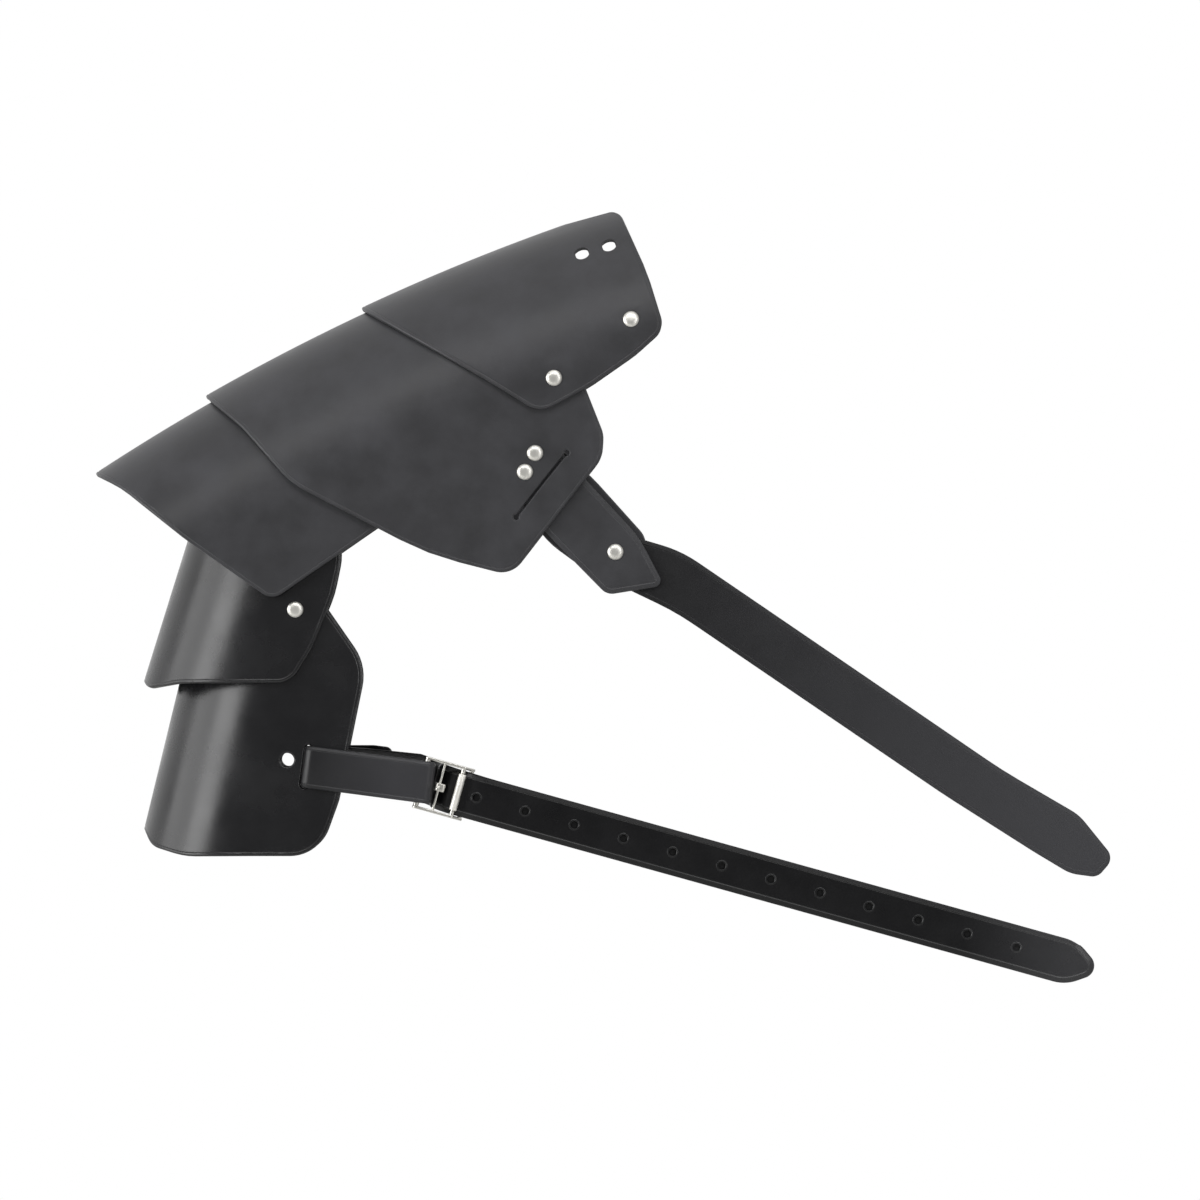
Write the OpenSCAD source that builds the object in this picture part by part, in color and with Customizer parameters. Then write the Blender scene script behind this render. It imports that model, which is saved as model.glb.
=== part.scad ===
// Layered leather shoulder and upper-arm guard for the wearer's right side.
// Seen from the front: X runs from the arm towards the neck and chest, Z is up, Y runs to the back.
// The origin lies on the axis of the shoulder arch, where the wearer's shoulder carries the guard.

/* [Plates] */
// Thickness of the plate leather
plate_t = 3; // [2.4:0.1:3.4]
// Outer half width of the shoulder plate, from the middle to each flap
shoulder_half_w = 74.2; // [70:0.1:80]
// Radius of the long curve that the ridges of the three shoulder plates follow
ridge_r = 1200; // [1100:10:1400]
// Gap between two plates that share an open pivot rivet
pivot_gap = 0.4; // [0.3:0.05:0.8]
// Gap between two plates where a flat rivet head lies hidden
head_gap = 1.6; // [1.5:0.05:2.2]
// Lean of the upper arm plate from the horizontal
upper_arm_lean = 72.7; // [71:0.1:75]
// Lean of the lower arm plate from the horizontal
lower_arm_lean = 76.4; // [75:0.1:78]

/* [Holes and slots] */
// Diameter of the open lacing holes near the neck
lace_hole_d = 7.1; // [5:0.1:8]
// Diameter of the open hole in each flap of the lower arm plate
arm_hole_d = 7.5; // [5:0.1:8]
// Diameter of the punched ends of the chest slit
slit_end_d = 3; // [2:0.1:4]
// Width of the chest slit between its punched ends
slit_w = 1.2; // [0.8:0.1:1.8]
// Width of the slots in the lower arm plate
slot_w = 4.4; // [3.6:0.1:5]
// Clearance at each end of a slot beside the belt
slot_end_gap = 0.8; // [0.5:0.1:1.5]

/* [Rivets] */
// Diameter of the domed rivet caps
cap_d = 8.8; // [8:0.1:9.6]
// Height of the dome of a rivet cap
cap_h = 1.9; // [1.5:0.1:2.4]
// Diameter of the rivet posts
post_d = 3.2; // [2.8:0.1:3.6]
// Diameter of the flat heads that lie hidden between plates
flat_d = 9; // [8:0.1:10]
// Thickness of the flat hidden heads
flat_h = 0.9; // [0.8:0.05:1]
// Diameter of the closing caps at the back of the rivets
back_d = 8.2; // [7.6:0.1:9]
// Height of the closing caps
back_h = 1.6; // [1.4:0.1:2]
// Depth to which a post enters its closing cap
post_in = 0.8; // [0.5:0.1:1]
// Radial clearance of a post in leather that turns on it
post_fit = 0.06; // [0.04:0.01:0.1]
// Gap between a rivet head and the leather that turns under it
turn_gap = 0.3; // [0.3:0.05:0.4]
// Gap left by a flat closing cap on the hollow side of the arch
inner_seat = 0.15; // [0.1:0.05:0.3]

/* [Straps] */
// Width of the arm belt
belt_w = 25; // [23:0.1:25.2]
// Thickness of the arm belt and of its buckle chape
belt_t = 3; // [2.6:0.1:3.2]
// Number of adjustment holes in the arm belt
belt_holes = 12; // [6:1:12]
// Distance between adjustment holes
belt_pitch = 27.8; // [24:0.1:28]
// Distance from the roller to the first adjustment hole
hole_start = 10.6; // [9.5:0.1:12]
// Length of the belt's tail from the roller to its tip
tail_end = 363.4; // [350:0.1:380]
// Diameter of the adjustment holes
belt_hole_d = 3.3; // [2.8:0.1:3.6]
// Width of the buckle chape
chape_w = 23; // [21:0.1:24]
// Thickness of the chest strap
chest_t = 2.4; // [2:0.1:2.6]
// Radius of the bends of the belt under the arm
belt_bend_r = 12; // [10:0.5:14]

/* [Buckle] */
// Clearance between the belt and each side of the buckle
buckle_side_gap = 0.5; // [0.4:0.05:0.7]
// Thickness of the rails of the buckle frame
rail_t = 1.6; // [1.2:0.1:2.2]
// Height of the rails of the buckle frame
rail_h = 3.2; // [2.8:0.1:3.6]
// Diameter of the bar inside the chape fold
chape_bar_d = 3; // [2.4:0.1:3.4]
// Diameter of the prong bar and of the bar inside the roller
pin_bar_d = 2.2; // [1.8:0.1:2.4]
// Outer diameter of the roller
roller_d = 4.2; // [3.8:0.1:4.3]
// Length of the bosses at the ends of the roller
boss_l = 2.5; // [1.5:0.1:3]
// Diameter of the prong
prong_d = 2.4; // [2:0.1:2.6]
// Length of the prong from its bar
prong_l = 13.6; // [12.8:0.1:14.5]
// Width of the prong curl
curl_w = 4.5; // [3.5:0.1:5.5]
// Distance from the prong bar to the roller
roller_reach = 10.6; // [10:0.1:11]
// Distance from the chape bar to the prong bar
chape_reach = 9.6; // [9.4:0.1:10.4]
// Radial clearance of the roller and of the prong curl on their bars
bar_fit = 0.06; // [0.04:0.01:0.1]
// Angle of the belt and buckle below the horizontal
belt_fall = 15.5; // [15:0.1:16.5]

/* [Hidden] */
$fn = 64;
leather = "#3a3a3c";
dark_leather = "#242426";
nickel = "#d8d6d0";
reach = 200;

// Half widths of the nested plates, each one seated in the plate above it
neck_half_w = shoulder_half_w + pivot_gap + plate_t;
cap_half_w = shoulder_half_w - plate_t - head_gap;
// The cap plate drops over the domed elbow rivets of the upper arm plate
upper_half_w = cap_half_w - plate_t - cap_h - turn_gap;
lower_half_w = upper_half_w - plate_t - pivot_gap;

// Centre of the long ridge curve: the shoulder ridge passes through these two points
ridge_tip = [-74.1, 35.4];
ridge_top = [11.4, 79.9];
ridge_chord = ridge_top - ridge_tip;
ridge_mid = (ridge_top + ridge_tip) / 2;
ridge_c = ridge_mid + [ridge_chord[1], -ridge_chord[0]] / norm(ridge_chord)
    * sqrt(ridge_r * ridge_r - pow(norm(ridge_chord) / 2, 2));
ridge_axis_r = ridge_r - shoulder_half_w;
ridge_from = 104;
ridge_sweep = 25;

// Ridge points of the arm plates, where each arch stands tangent to the outline
upper_ridge_at = [-83.9, -44.1];
lower_ridge_at = [-88.3, -121.5];

// Places of the rivets and holes, as [x, z]
neck_corner = [158.6, 76.8];
neck_pivot = [116.6, 44.7];
lace_holes = [[131.9, 112.8], [146.6, 117.2]];
strap_pair = [[106.3, 3.8], [100.8, -6.5]];
slit_ends = [[123.5, 3.8], [95.9, -31.1]];
cap_pivot = [40, -14];
arm_pivot = [-21.8, -43.6];
elbow_pivot = [-24.5, -81.5];
chest_rivet = [150.1, -50.1];
arm_hole = [-28.9, -163.5];
slot_at = [-18.5, -167.2];
slot_tilt = 7.5;

// Outlines of the plates and straps as [x, z, corner radius]; above the ridge they run clear of it
neck_outline = [[-9.6, 95.6, 0], [-10, 118, 0], [60, 112, 0], [151.9, 137.2, 6], [174.9, 76.5, 4],
    [136, 40.5, 40], [109, 25.5, 14], [80, 43.5, 60]];
shoulder_outline = [[-98, 55.5, 0], [-90, 70, 0], [20, 120, 0], [36, 92, 14], [98, 62, 40],
    [128, 54, 8], [143.8, 14, 15], [143, 1.5, 18], [93, -63, 14], [48, -51.5, 150],
    [-27, -12.5, 50], [-54, 18.5, 60]];
cap_outline = [[-155, 3.3, 0], [-150, 30, 0], [-60, 70, 0], [-51, 38, 12], [-16, 10, 40],
    [44, -1, 9], [51, -16, 9], [20, -37, 40], [-37, -76.5, 9], [-84, -43.5, 100], [-121, -13.6, 60]];
upper_outline = [[-125, -127.5, 0], [-125, -27, 0], [-78, -28, 0], [-40, -26, 30], [-8, -29, 12],
    [1.6, -48, 30], [-3.5, -73, 60], [-15, -102, 40], [-27, -121.5, 14], [-88, -121.5, 30]];
lower_outline = [[-135, -199, 0], [-130, -108, 0], [-78, -104, 0], [-45, -74, 30], [-22, -66, 12],
    [-9, -79, 20], [13.9, -112, 14], [-1.2, -186, 30], [-12, -216, 22], [-86, -216.2, 40],
    [-107, -208, 5]];
front_leg_outline = [[97, 13, 7], [113, 13, 7], [136, -13, 60], [163, -42, 60], [177, -68.5, 4],
    [145.5, -73.5, 8], [113, -40.5, 50], [93, -14, 7]];
back_leg_outline = [[97, 13, 7], [113, 13, 7], [139, -11, 60], [166, -41, 12], [169, -60, 12],
    [149, -71, 8], [112, -44, 50], [93, -14, 7]];
strip_outline = [[114, 12, 7], [92, 11, 30], [40, -4.5, 60], [-24, -34, 9], [-32, -50, 9],
    [38, -23.5, 60], [94, -15, 30], [113, -15, 7]];
chest_outline = [[142, -36.5, 8], [186, -49.5, 70], [285, -117, 400], [361, -169, 300],
    [403, -193.5, 28], [422, -217, 7], [413, -227.5, 7], [398, -225.5, 22], [378, -213.5, 150],
    [330, -183, 300], [183, -83, 150], [137, -61, 8]];

// Faces across the depth, front side; the back side mirrors them
shoulder_in = shoulder_half_w - plate_t;
cap_in = cap_half_w - plate_t;
upper_in = upper_half_w - plate_t;
lower_in = lower_half_w - plate_t;
// The lower arch already curves in at the elbow rivet, so its closing cap sits deeper
elbow_rise = (elbow_pivot - lower_ridge_at) * [-sin(lower_arm_lean), cos(lower_arm_lean)]
    + lower_half_w + back_d / 2;
elbow_back_face = sqrt(lower_in * lower_in - pow(max(0, elbow_rise), 2)) - turn_gap;
// The shoulder arch starts to curve in at the neck pivot too
neck_rise = norm(neck_pivot - ridge_c) - ridge_axis_r + back_d / 2;
neck_back_face = sqrt(shoulder_in * shoulder_in - pow(max(0, neck_rise), 2));
strip_t = 2.2;
strip_face = cap_in - turn_gap;
// The upper arch has curved in by this much of its height where it swings over the strip's end
strip_rise = 17;
strip_low_face = sqrt(upper_in * upper_in - strip_rise * strip_rise) - turn_gap;
leg_t = (shoulder_in - strip_face) / 2;
strap_face = shoulder_in - leg_t - turn_gap;
back_leg_face = strap_face - chest_t - turn_gap;

// Room in the fold for the chape bar, which leans more than the chape
fold_slack = 1.4;

// Buckle: the bars lie in the middle of the void inside the chape
chape_gap = 0.4;
chape_front = lower_half_w + chape_gap;
chape_back = lower_in - chape_gap;
bar_y = (chape_front + chape_back) / 2;
chape_r = (chape_front - chape_back) / 2;
fold_shift = (chape_r + belt_t + sqrt(chape_r * chape_r - plate_t * plate_t / 4)) / 2;
fold_at = slot_at + fold_shift * [cos(slot_tilt), -sin(slot_tilt)];
belt_dir = [cos(belt_fall), -sin(belt_fall)];
roller_at = [64.05, -181.2];
prong_at = roller_at - roller_reach * belt_dir;
chape_bar_at = prong_at - chape_reach * belt_dir;
rail_in = belt_w / 2 + buckle_side_gap;
belt_front = bar_y - roller_d / 2 - turn_gap;
keeper_back = 4.5;
keeper_d = 2.4;
keeper_y = belt_front - belt_t - turn_gap - keeper_d / 2;

// Arm belt: the tail runs straight from the buckle, the root folds through the back slot.
// Its plan stands on the slot's lean and is measured from the fold.
root_end = 42;
lap_from = 23.5;
lap_to = 31.5;
root_rivet = [21.5, -167.9];
belt_line_y = belt_front - belt_t / 2;
root_line_y = chape_back - belt_t / 2;
bend_in = belt_bend_r - belt_t / 2;
bend_out = belt_bend_r + belt_t / 2;
tail_bend_x = (roller_at - fold_at) * [cos(slot_tilt), -sin(slot_tilt)];
loop_x = tail_bend_x - belt_bend_r;
root_bend_x = loop_x - belt_bend_r;

// Arc that rounds the corner p between its neighbours a and b, limited by the sides it meets
function unit(v) = v / norm(v);
function corner(a, p, b) =
    let (p2 = [p[0], p[1]], u = unit([a[0], a[1]] - p2), v = unit([b[0], b[1]] - p2),
        half = acos(max(-1, min(1, u * v))) / 2,
        room = 0.48 * min(norm([a[0], a[1]] - p2), norm([b[0], b[1]] - p2)),
        r = min(p[2], room * tan(half)),
        c = p2 + unit(u + v) * r / sin(half),
        s = p2 + u * r / tan(half), e = p2 + v * r / tan(half),
        a0 = atan2(s[1] - c[1], s[0] - c[0]), a1 = atan2(e[1] - c[1], e[0] - c[0]),
        turn = (a1 - a0) - 360 * round((a1 - a0) / 360), n = max(1, ceil(abs(turn) / 7)))
    r < 0.01 || half > 89.5 ? [p2]
        : [for (i = [0:n]) c + r * [cos(a0 + turn * i / n), sin(a0 + turn * i / n)]];
function rounded(pts) = let (n = len(pts))
    [for (i = [0:n - 1]) for (q = corner(pts[(i + n - 1) % n], pts[i], pts[(i + 1) % n])) q];

// Cuts its children to an outline seen from the front
module in_outline(pts) {
    intersection() {
        children();
        rotate([90, 0, 0]) linear_extrude(reach, center = true) polygon(rounded(pts));
    }
}

// Cylinder along Y from y0 to y1 at a place seen from the front
module pin(at, d, y0, y1) {
    translate([at[0], min(y0, y1), at[1]]) rotate([-90, 0, 0]) cylinder(d = d, h = abs(y1 - y0));
}

// Flat sheet square to the view with its front face at y = -face, larger than the guard
module sheet(face, t) {
    translate([-2 * reach, -face, -2 * reach]) cube([5 * reach, t, 4 * reach]);
}

module both_sides() {
    children();
    mirror([0, 1, 0]) children();
}

// Section of an arch with two flaps: the crown is at x = r, the flaps run to x = -flap
module arch_section(r, flap) {
    difference() {
        union() {
            circle(r, $fn = 96);
            translate([-flap, -r]) square([flap, 2 * r]);
        }
        circle(r - plate_t, $fn = 96);
        translate([-flap - plate_t, -r + plate_t]) square([flap + plate_t, 2 * (r - plate_t)]);
    }
}

// Shoulder arch that follows the long ridge curve
module ridge_arch(r) {
    translate([ridge_c[0], 0, ridge_c[1]]) rotate([90, 0, 0]) rotate([0, 0, ridge_from])
        rotate_extrude(angle = ridge_sweep, $fn = 720) translate([ridge_axis_r, 0]) arch_section(r, 130);
}

// Straight arch that leans like the arm, with its ridge through a given point
module arm_arch(r, at, lean) {
    translate([at[0], 0, at[1]]) rotate([0, -lean, 0]) translate([0, 0, -r])
        rotate([0, -90, 0]) linear_extrude(2 * reach, center = true) arch_section(r, 60);
}

// Places its children on the front of the shoulder arch, with z square out of the leather at z = 0
module on_arch(at, r) {
    from_c = at - ridge_c;
    away = unit(from_c);
    tilt = asin((norm(from_c) - ridge_axis_r) / r);
    translate([ridge_c[0] + away[0] * ridge_axis_r, 0, ridge_c[1] + away[1] * ridge_axis_r])
        rotate([0, atan2(away[0], away[1]), 0]) rotate([90 - tilt, 0, 0]) translate([0, 0, r]) children();
}

// Bore square through the leather of the shoulder arch
module arch_bore(at, d, r) {
    on_arch(at, r) translate([0, 0, -plate_t - 4]) cylinder(d = d, h = plate_t + 8);
}

// Dome with its rim on z = 0
module dome(d, h) {
    r = (d * d / 4 + h * h) / (2 * h);
    intersection() {
        translate([0, 0, h - r]) sphere(r, $fn = 96);
        cylinder(d = d, h = h + 1);
    }
}

// Rivet with its domed cap on z = 0 and its post down to z = -l
module cap_and_post(l) {
    dome(cap_d, cap_h);
    translate([0, 0, -l]) cylinder(d = post_d, h = l + cap_h / 4);
}

// Closing half of a rivet: a low dome below z = 0 with a socket for the post
module socket_cap() {
    mirror([0, 0, 1]) difference() {
        dome(back_d, back_h);
        translate([0, 0, -1]) cylinder(d = post_d, h = 1 + post_in);
    }
}

// Places its children on the front side with z towards the viewer and z = 0 at y = -face
module on_front(at, face) {
    translate([at[0], -face, at[1]]) rotate([90, 0, 0]) children();
}

// Rivet on the front side: a domed cap on the face y = -face with a post back to y = -tail
module cap_rivet(at, face, tail) {
    on_front(at, face) cap_and_post(face - tail);
}

module back_cap(at, face) {
    on_front(at, face) socket_cap();
}

module neck_plate() {
    color(leather) difference() {
        in_outline(neck_outline) ridge_arch(neck_half_w);
        for (h = lace_holes) both_sides() arch_bore(h, lace_hole_d, neck_half_w);
        pin(neck_pivot, post_d + 2 * post_fit, -reach / 2, reach / 2);
        both_sides() arch_bore(neck_corner, post_d, neck_half_w);
    }
}

module neck_corner_rivets() {
    color(nickel) both_sides() on_arch(neck_corner, neck_half_w)
        cap_and_post(plate_t + inner_seat + post_in);
}

module neck_corner_backs() {
    color(nickel) both_sides() on_arch(neck_corner, neck_half_w)
        translate([0, 0, -plate_t - inner_seat]) socket_cap();
}

module shoulder_plate() {
    slit_v = slit_ends[0] - slit_ends[1];
    color(leather) difference() {
        in_outline(shoulder_outline) ridge_arch(shoulder_half_w);
        for (p = concat(strap_pair, [neck_pivot])) pin(p, post_d, -reach / 2, reach / 2);
        for (p = slit_ends) pin(p, slit_end_d, -reach / 2, 0);
        translate([slit_ends[1][0], 0, slit_ends[1][1]])
            rotate([0, -atan2(slit_v[1], slit_v[0]), 0]) translate([0, -reach / 2, -slit_w / 2])
                cube([norm(slit_v), reach / 2, slit_w]);
    }
}

module neck_pivot_rivets() {
    color(nickel) both_sides()
        cap_rivet(neck_pivot, neck_half_w + turn_gap, neck_back_face - post_in);
}

module neck_pivot_backs() {
    color(nickel) both_sides() back_cap(neck_pivot, neck_back_face);
}

module strap_pair_rivets() {
    color(nickel) for (p = strap_pair) {
        cap_rivet(p, shoulder_half_w, strip_face - strip_t - post_in);
        mirror([0, 1, 0]) cap_rivet(p, shoulder_half_w, shoulder_in - strip_t - post_in);
    }
}

module strap_pair_backs() {
    color(nickel) for (p = strap_pair) {
        back_cap(p, strip_face - strip_t);
        mirror([0, 1, 0]) back_cap(p, shoulder_in - strip_t);
    }
}

// Section of a sheet: its outer face follows the points [x, depth], and t is measured in the depth
module sheet_line(pts, t) {
    mirror([0, 1])
        polygon(concat(pts, [for (i = [len(pts) - 1:-1:0]) [pts[i][0], pts[i][1] - t]]));
}

// Suspension strip: it steps from the shoulder side in behind the arm plate
module strip_band(top_face) {
    pts = [[reach, top_face], [88, top_face], [66, strip_face], [28, strip_face],
        [8, strip_low_face], [-reach, strip_low_face]];
    in_outline(strip_outline) linear_extrude(reach, center = true) sheet_line(pts, strip_t);
}

module front_suspension_strip() {
    color(dark_leather) difference() {
        strip_band(strip_face);
        for (p = concat(strap_pair, [cap_pivot, arm_pivot])) pin(p, post_d, -reach / 2, 0);
    }
}

module rear_suspension_strip() {
    color(dark_leather) difference() {
        mirror([0, 1, 0]) strip_band(shoulder_in);
        for (p = concat(strap_pair, [cap_pivot, arm_pivot])) pin(p, post_d, 0, reach / 2);
    }
}

module cap_plate() {
    color(leather) difference() {
        in_outline(cap_outline) ridge_arch(cap_half_w);
        pin(cap_pivot, post_d + 2 * post_fit, -reach / 2, reach / 2);
    }
}

// Low rivet that hides between two plates: a flat head outside, a post back to y = -tail
module flat_rivet(at, face, tail) {
    pin(at, flat_d, -face, -face - flat_h);
    pin(at, post_d, -face - flat_h / 2, -tail);
}

module cap_pivot_rivets() {
    color(nickel) both_sides() flat_rivet(cap_pivot, cap_half_w + turn_gap, strip_face - strip_t - post_in);
}

module cap_pivot_backs() {
    color(nickel) both_sides() back_cap(cap_pivot, strip_face - strip_t);
}

module upper_arm_plate() {
    color(dark_leather) difference() {
        in_outline(upper_outline) arm_arch(upper_half_w, upper_ridge_at, upper_arm_lean);
        pin(arm_pivot, post_d + 2 * post_fit, -reach / 2, reach / 2);
        pin(elbow_pivot, post_d, -reach / 2, reach / 2);
    }
}

module arm_pivot_rivets() {
    color(nickel) both_sides()
        flat_rivet(arm_pivot, upper_half_w + turn_gap, strip_low_face - strip_t - post_in);
}

module arm_pivot_backs() {
    color(nickel) both_sides() back_cap(arm_pivot, strip_low_face - strip_t);
}

// Upright slot through both flaps for the chape in front and the belt root behind
module belt_slot() {
    half = belt_w / 2 + slot_end_gap - slot_w / 2;
    translate([slot_at[0], 0, slot_at[1]]) rotate([0, slot_tilt, 0]) {
        cube([slot_w, reach, 2 * half], center = true);
        for (s = [-1, 1]) pin([0, s * half], slot_w, -reach / 2, reach / 2);
    }
}

module lower_arm_plate() {
    color(dark_leather) difference() {
        in_outline(lower_outline) arm_arch(lower_half_w, lower_ridge_at, lower_arm_lean);
        pin(elbow_pivot, post_d + 2 * post_fit, -reach / 2, reach / 2);
        pin(arm_hole, arm_hole_d, -reach / 2, reach / 2);
        belt_slot();
    }
}

module elbow_pivot_rivets() {
    color(nickel) both_sides() cap_rivet(elbow_pivot, upper_half_w, elbow_back_face - post_in);
}

module elbow_pivot_backs() {
    color(nickel) both_sides() back_cap(elbow_pivot, elbow_back_face);
}

// Frame of the chest connector: x runs along it from the rivet pair, y stays depth
pair_mid = (strap_pair[0] + strap_pair[1]) / 2;
connector_fall = 43;

module connector_front_leg() {
    color(leather) difference() {
        in_outline(front_leg_outline) sheet(shoulder_in, leg_t);
        for (p = concat(strap_pair, [chest_rivet])) pin(p, post_d, -reach / 2, 0);
    }
}

// The back leg lies on the front leg at the rivet pair and steps back to make room for the strap
module connector_back_leg() {
    top = shoulder_in - leg_t;
    pts = [[-reach, top], [18, top], [36, back_leg_face], [reach, back_leg_face]];
    color(leather) difference() {
        in_outline(back_leg_outline) translate([pair_mid[0], 0, pair_mid[1]])
            rotate([0, connector_fall, 0]) linear_extrude(reach, center = true) sheet_line(pts, leg_t);
        for (p = concat(strap_pair, [chest_rivet])) pin(p, post_d, -reach / 2, 0);
    }
}

module chest_strap() {
    color(leather) difference() {
        in_outline(chest_outline) sheet(strap_face, chest_t);
        pin(chest_rivet, post_d + 2 * post_fit, -reach / 2, 0);
    }
}

module chest_strap_rivet() {
    color(nickel) cap_rivet(chest_rivet, shoulder_in, back_leg_face - leg_t - post_in);
}

module chest_strap_rivet_back() {
    color(nickel) back_cap(chest_rivet, back_leg_face - leg_t);
}

// Closed band through the front slot and round the chape bar of the buckle
module buckle_chape() {
    run = (chape_bar_at - fold_at) * [cos(slot_tilt), -sin(slot_tilt)] + fold_slack;
    color(leather) translate([fold_at[0], -bar_y, fold_at[1]]) rotate([0, slot_tilt, 0])
        linear_extrude(chape_w, center = true) difference() {
            band(run, chape_r + belt_t);
            band(run, chape_r);
        }
}

// Flat shape with two round ends, as long as run between their centres
module band(run, r) {
    circle(r);
    translate([run, 0]) circle(r);
    translate([0, -r]) square([run, 2 * r]);
}

// Places its children with x along the belt, y back and z across the belt, at the roller
module at_buckle() {
    translate([roller_at[0], -bar_y, roller_at[1]]) rotate([0, belt_fall, 0]) children();
}

// Round bar across the buckle at a place [x, y] in the buckle's own frame
module bar(at, d, l) {
    translate([at[0], at[1], 0]) cylinder(d = d, h = l, center = true);
}

// Side view of a rail of the buckle: straight along the belt, then bent back to the keeper bar
module rail_shape(left, keeper) {
    r = rail_h / 2;
    u = unit(keeper);
    n = [-u[1], u[0]];
    miter = r * tan(atan2(keeper[1], keeper[0]) / 2);
    low = keeper + r * (u - n);
    high = keeper + r * (u + n);
    polygon(rounded([[left - r, -r, r], [miter, -r, r], with_r(low, r), with_r(high, r),
        [-miter, r, r], [left - r, r, r]]));
}

module buckle_frame() {
    left = -roller_reach - chape_reach;
    keeper = [keeper_back, bar_y - keeper_y];
    wide = 2 * rail_in + rail_t;
    color(nickel) at_buckle() {
        for (s = [-1, 1]) {
            translate([0, 0, s * (rail_in + rail_t / 2)]) linear_extrude(rail_t, center = true)
                rail_shape(left, keeper);
            translate([0, 0, s * (rail_in + rail_t / 4 - boss_l / 2)])
                cylinder(d = rail_h - 0.6, h = boss_l + rail_t / 2, center = true);
        }
        bar([left, 0], chape_bar_d, wide);
        bar([-roller_reach, 0], pin_bar_d, wide);
        bar([0, 0], pin_bar_d, wide);
        bar(keeper, keeper_d, wide);
    }
}

module buckle_roller() {
    l = 2 * (rail_in - boss_l - turn_gap);
    color(nickel) at_buckle() difference() {
        bar([0, 0], roller_d, l);
        bar([0, 0], pin_bar_d + 2 * bar_fit, l + 2);
    }
}

module buckle_prong() {
    curl_d = pin_bar_d + 2 * bar_fit + prong_d;
    color(nickel) at_buckle() translate([-roller_reach, 0, 0]) difference() {
        union() {
            bar([0, 0], curl_d, curl_w);
            rotate([90, 0, 0]) cylinder(d = prong_d, h = prong_l - prong_d / 2);
            translate([0, -prong_l + prong_d / 2, 0]) sphere(d = prong_d);
        }
        bar([0, 0], pin_bar_d + 2 * bar_fit, curl_w + 2);
    }
}

// Points on an arc from angle a0 to angle a1
function arc(c, r, a0, a1) = let (n = ceil(abs(a1 - a0) / 7))
    [for (i = [0:n]) c + r * [cos(a0 + (a1 - a0) * i / n), sin(a0 + (a1 - a0) * i / n)]];

// Plan of the arm belt: a fold through the back slot, two bends under the arm, a straight tail
module belt_plan() {
    fold_c = [0, bar_y];
    root_c = [root_bend_x, root_line_y - belt_bend_r];
    tail_c = [tail_bend_x, belt_bend_r - belt_line_y];
    tail_x = tail_bend_x + tail_end + belt_w;
    difference() {
        polygon(concat([[tail_x, -belt_line_y - belt_t / 2]], arc(tail_c, bend_out, 270, 180),
            arc(root_c, bend_in, 0, 90), arc(fold_c, chape_r + belt_t, 270, 90),
            [[lap_from, chape_front + belt_t], [lap_to, chape_back + belt_t],
            [root_end, chape_back + belt_t], [root_end, chape_back]],
            arc(root_c, bend_out, 90, 0), arc(tail_c, bend_in, 180, 270),
            [[tail_x, -belt_line_y + belt_t / 2]]));
        polygon(concat([[lap_from - 1, chape_front]], arc(fold_c, chape_r, 90, 270),
            [[lap_to - 1, chape_back]]));
    }
}

// Outline of the arm belt seen from the front, worked out from the line of its tail.
// The root narrows to the width of the chape, to pass the same slot.
root_over = 10;
function along(s, w) = roller_at + s * belt_dir + w * [-belt_dir[1], belt_dir[0]];
function with_r(p, r) = [p[0], p[1], r];
belt_outline = [
    [fold_at[0] - root_over, slot_at[1] + chape_w / 2, 0], [20, slot_at[1] + belt_w / 2, 90],
    with_r(along(-8, belt_w / 2), 90), with_r(along(tail_end - 16, belt_w / 2), 22),
    with_r(along(tail_end + 2, 0), 7), with_r(along(tail_end - 16, -belt_w / 2), 22),
    with_r(along(-12, -belt_w / 2), 90), [18, slot_at[1] - belt_w / 2, 90],
    [fold_at[0] - root_over, slot_at[1] - chape_w / 2, 0]];

module arm_belt() {
    color(dark_leather) difference() {
        in_outline(belt_outline) translate([fold_at[0], 0, fold_at[1]]) rotate([0, slot_tilt, 0])
            linear_extrude(reach, center = true) belt_plan();
        for (i = [0:belt_holes - 1])
            pin(along(hole_start + i * belt_pitch, 0), belt_hole_d, -reach / 2, 0);
        pin(root_rivet, post_d, 0, reach / 2);
    }
}

module belt_root_rivet() {
    color(nickel) mirror([0, 1, 0])
        cap_rivet(root_rivet, chape_back + belt_t, chape_back - belt_t - post_in);
}

module belt_root_rivet_back() {
    color(nickel) mirror([0, 1, 0]) back_cap(root_rivet, chape_back - belt_t);
}

neck_plate();
neck_corner_rivets();
neck_corner_backs();
shoulder_plate();
neck_pivot_rivets();
neck_pivot_backs();
strap_pair_rivets();
strap_pair_backs();
front_suspension_strip();
rear_suspension_strip();
cap_plate();
cap_pivot_rivets();
cap_pivot_backs();
upper_arm_plate();
arm_pivot_rivets();
arm_pivot_backs();
lower_arm_plate();
elbow_pivot_rivets();
elbow_pivot_backs();
connector_front_leg();
connector_back_leg();
chest_strap();
chest_strap_rivet();
chest_strap_rivet_back();
buckle_chape();
buckle_frame();
buckle_roller();
buckle_prong();
arm_belt();
belt_root_rivet();
belt_root_rivet_back();
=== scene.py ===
"""Layered leather pauldron: blanks wrapped over their forms, rivets, buckle and studio."""

import logging
from dataclasses import dataclass, field
from enum import Enum
from math import (acos, asin, atan2, ceil, copysign, cos, degrees, dist, exp, hypot, pi, radians,
                  remainder, sin, sqrt, tan, tau)
from typing import Callable, Iterable

import bpy
from mathutils import Matrix, Vector


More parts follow.
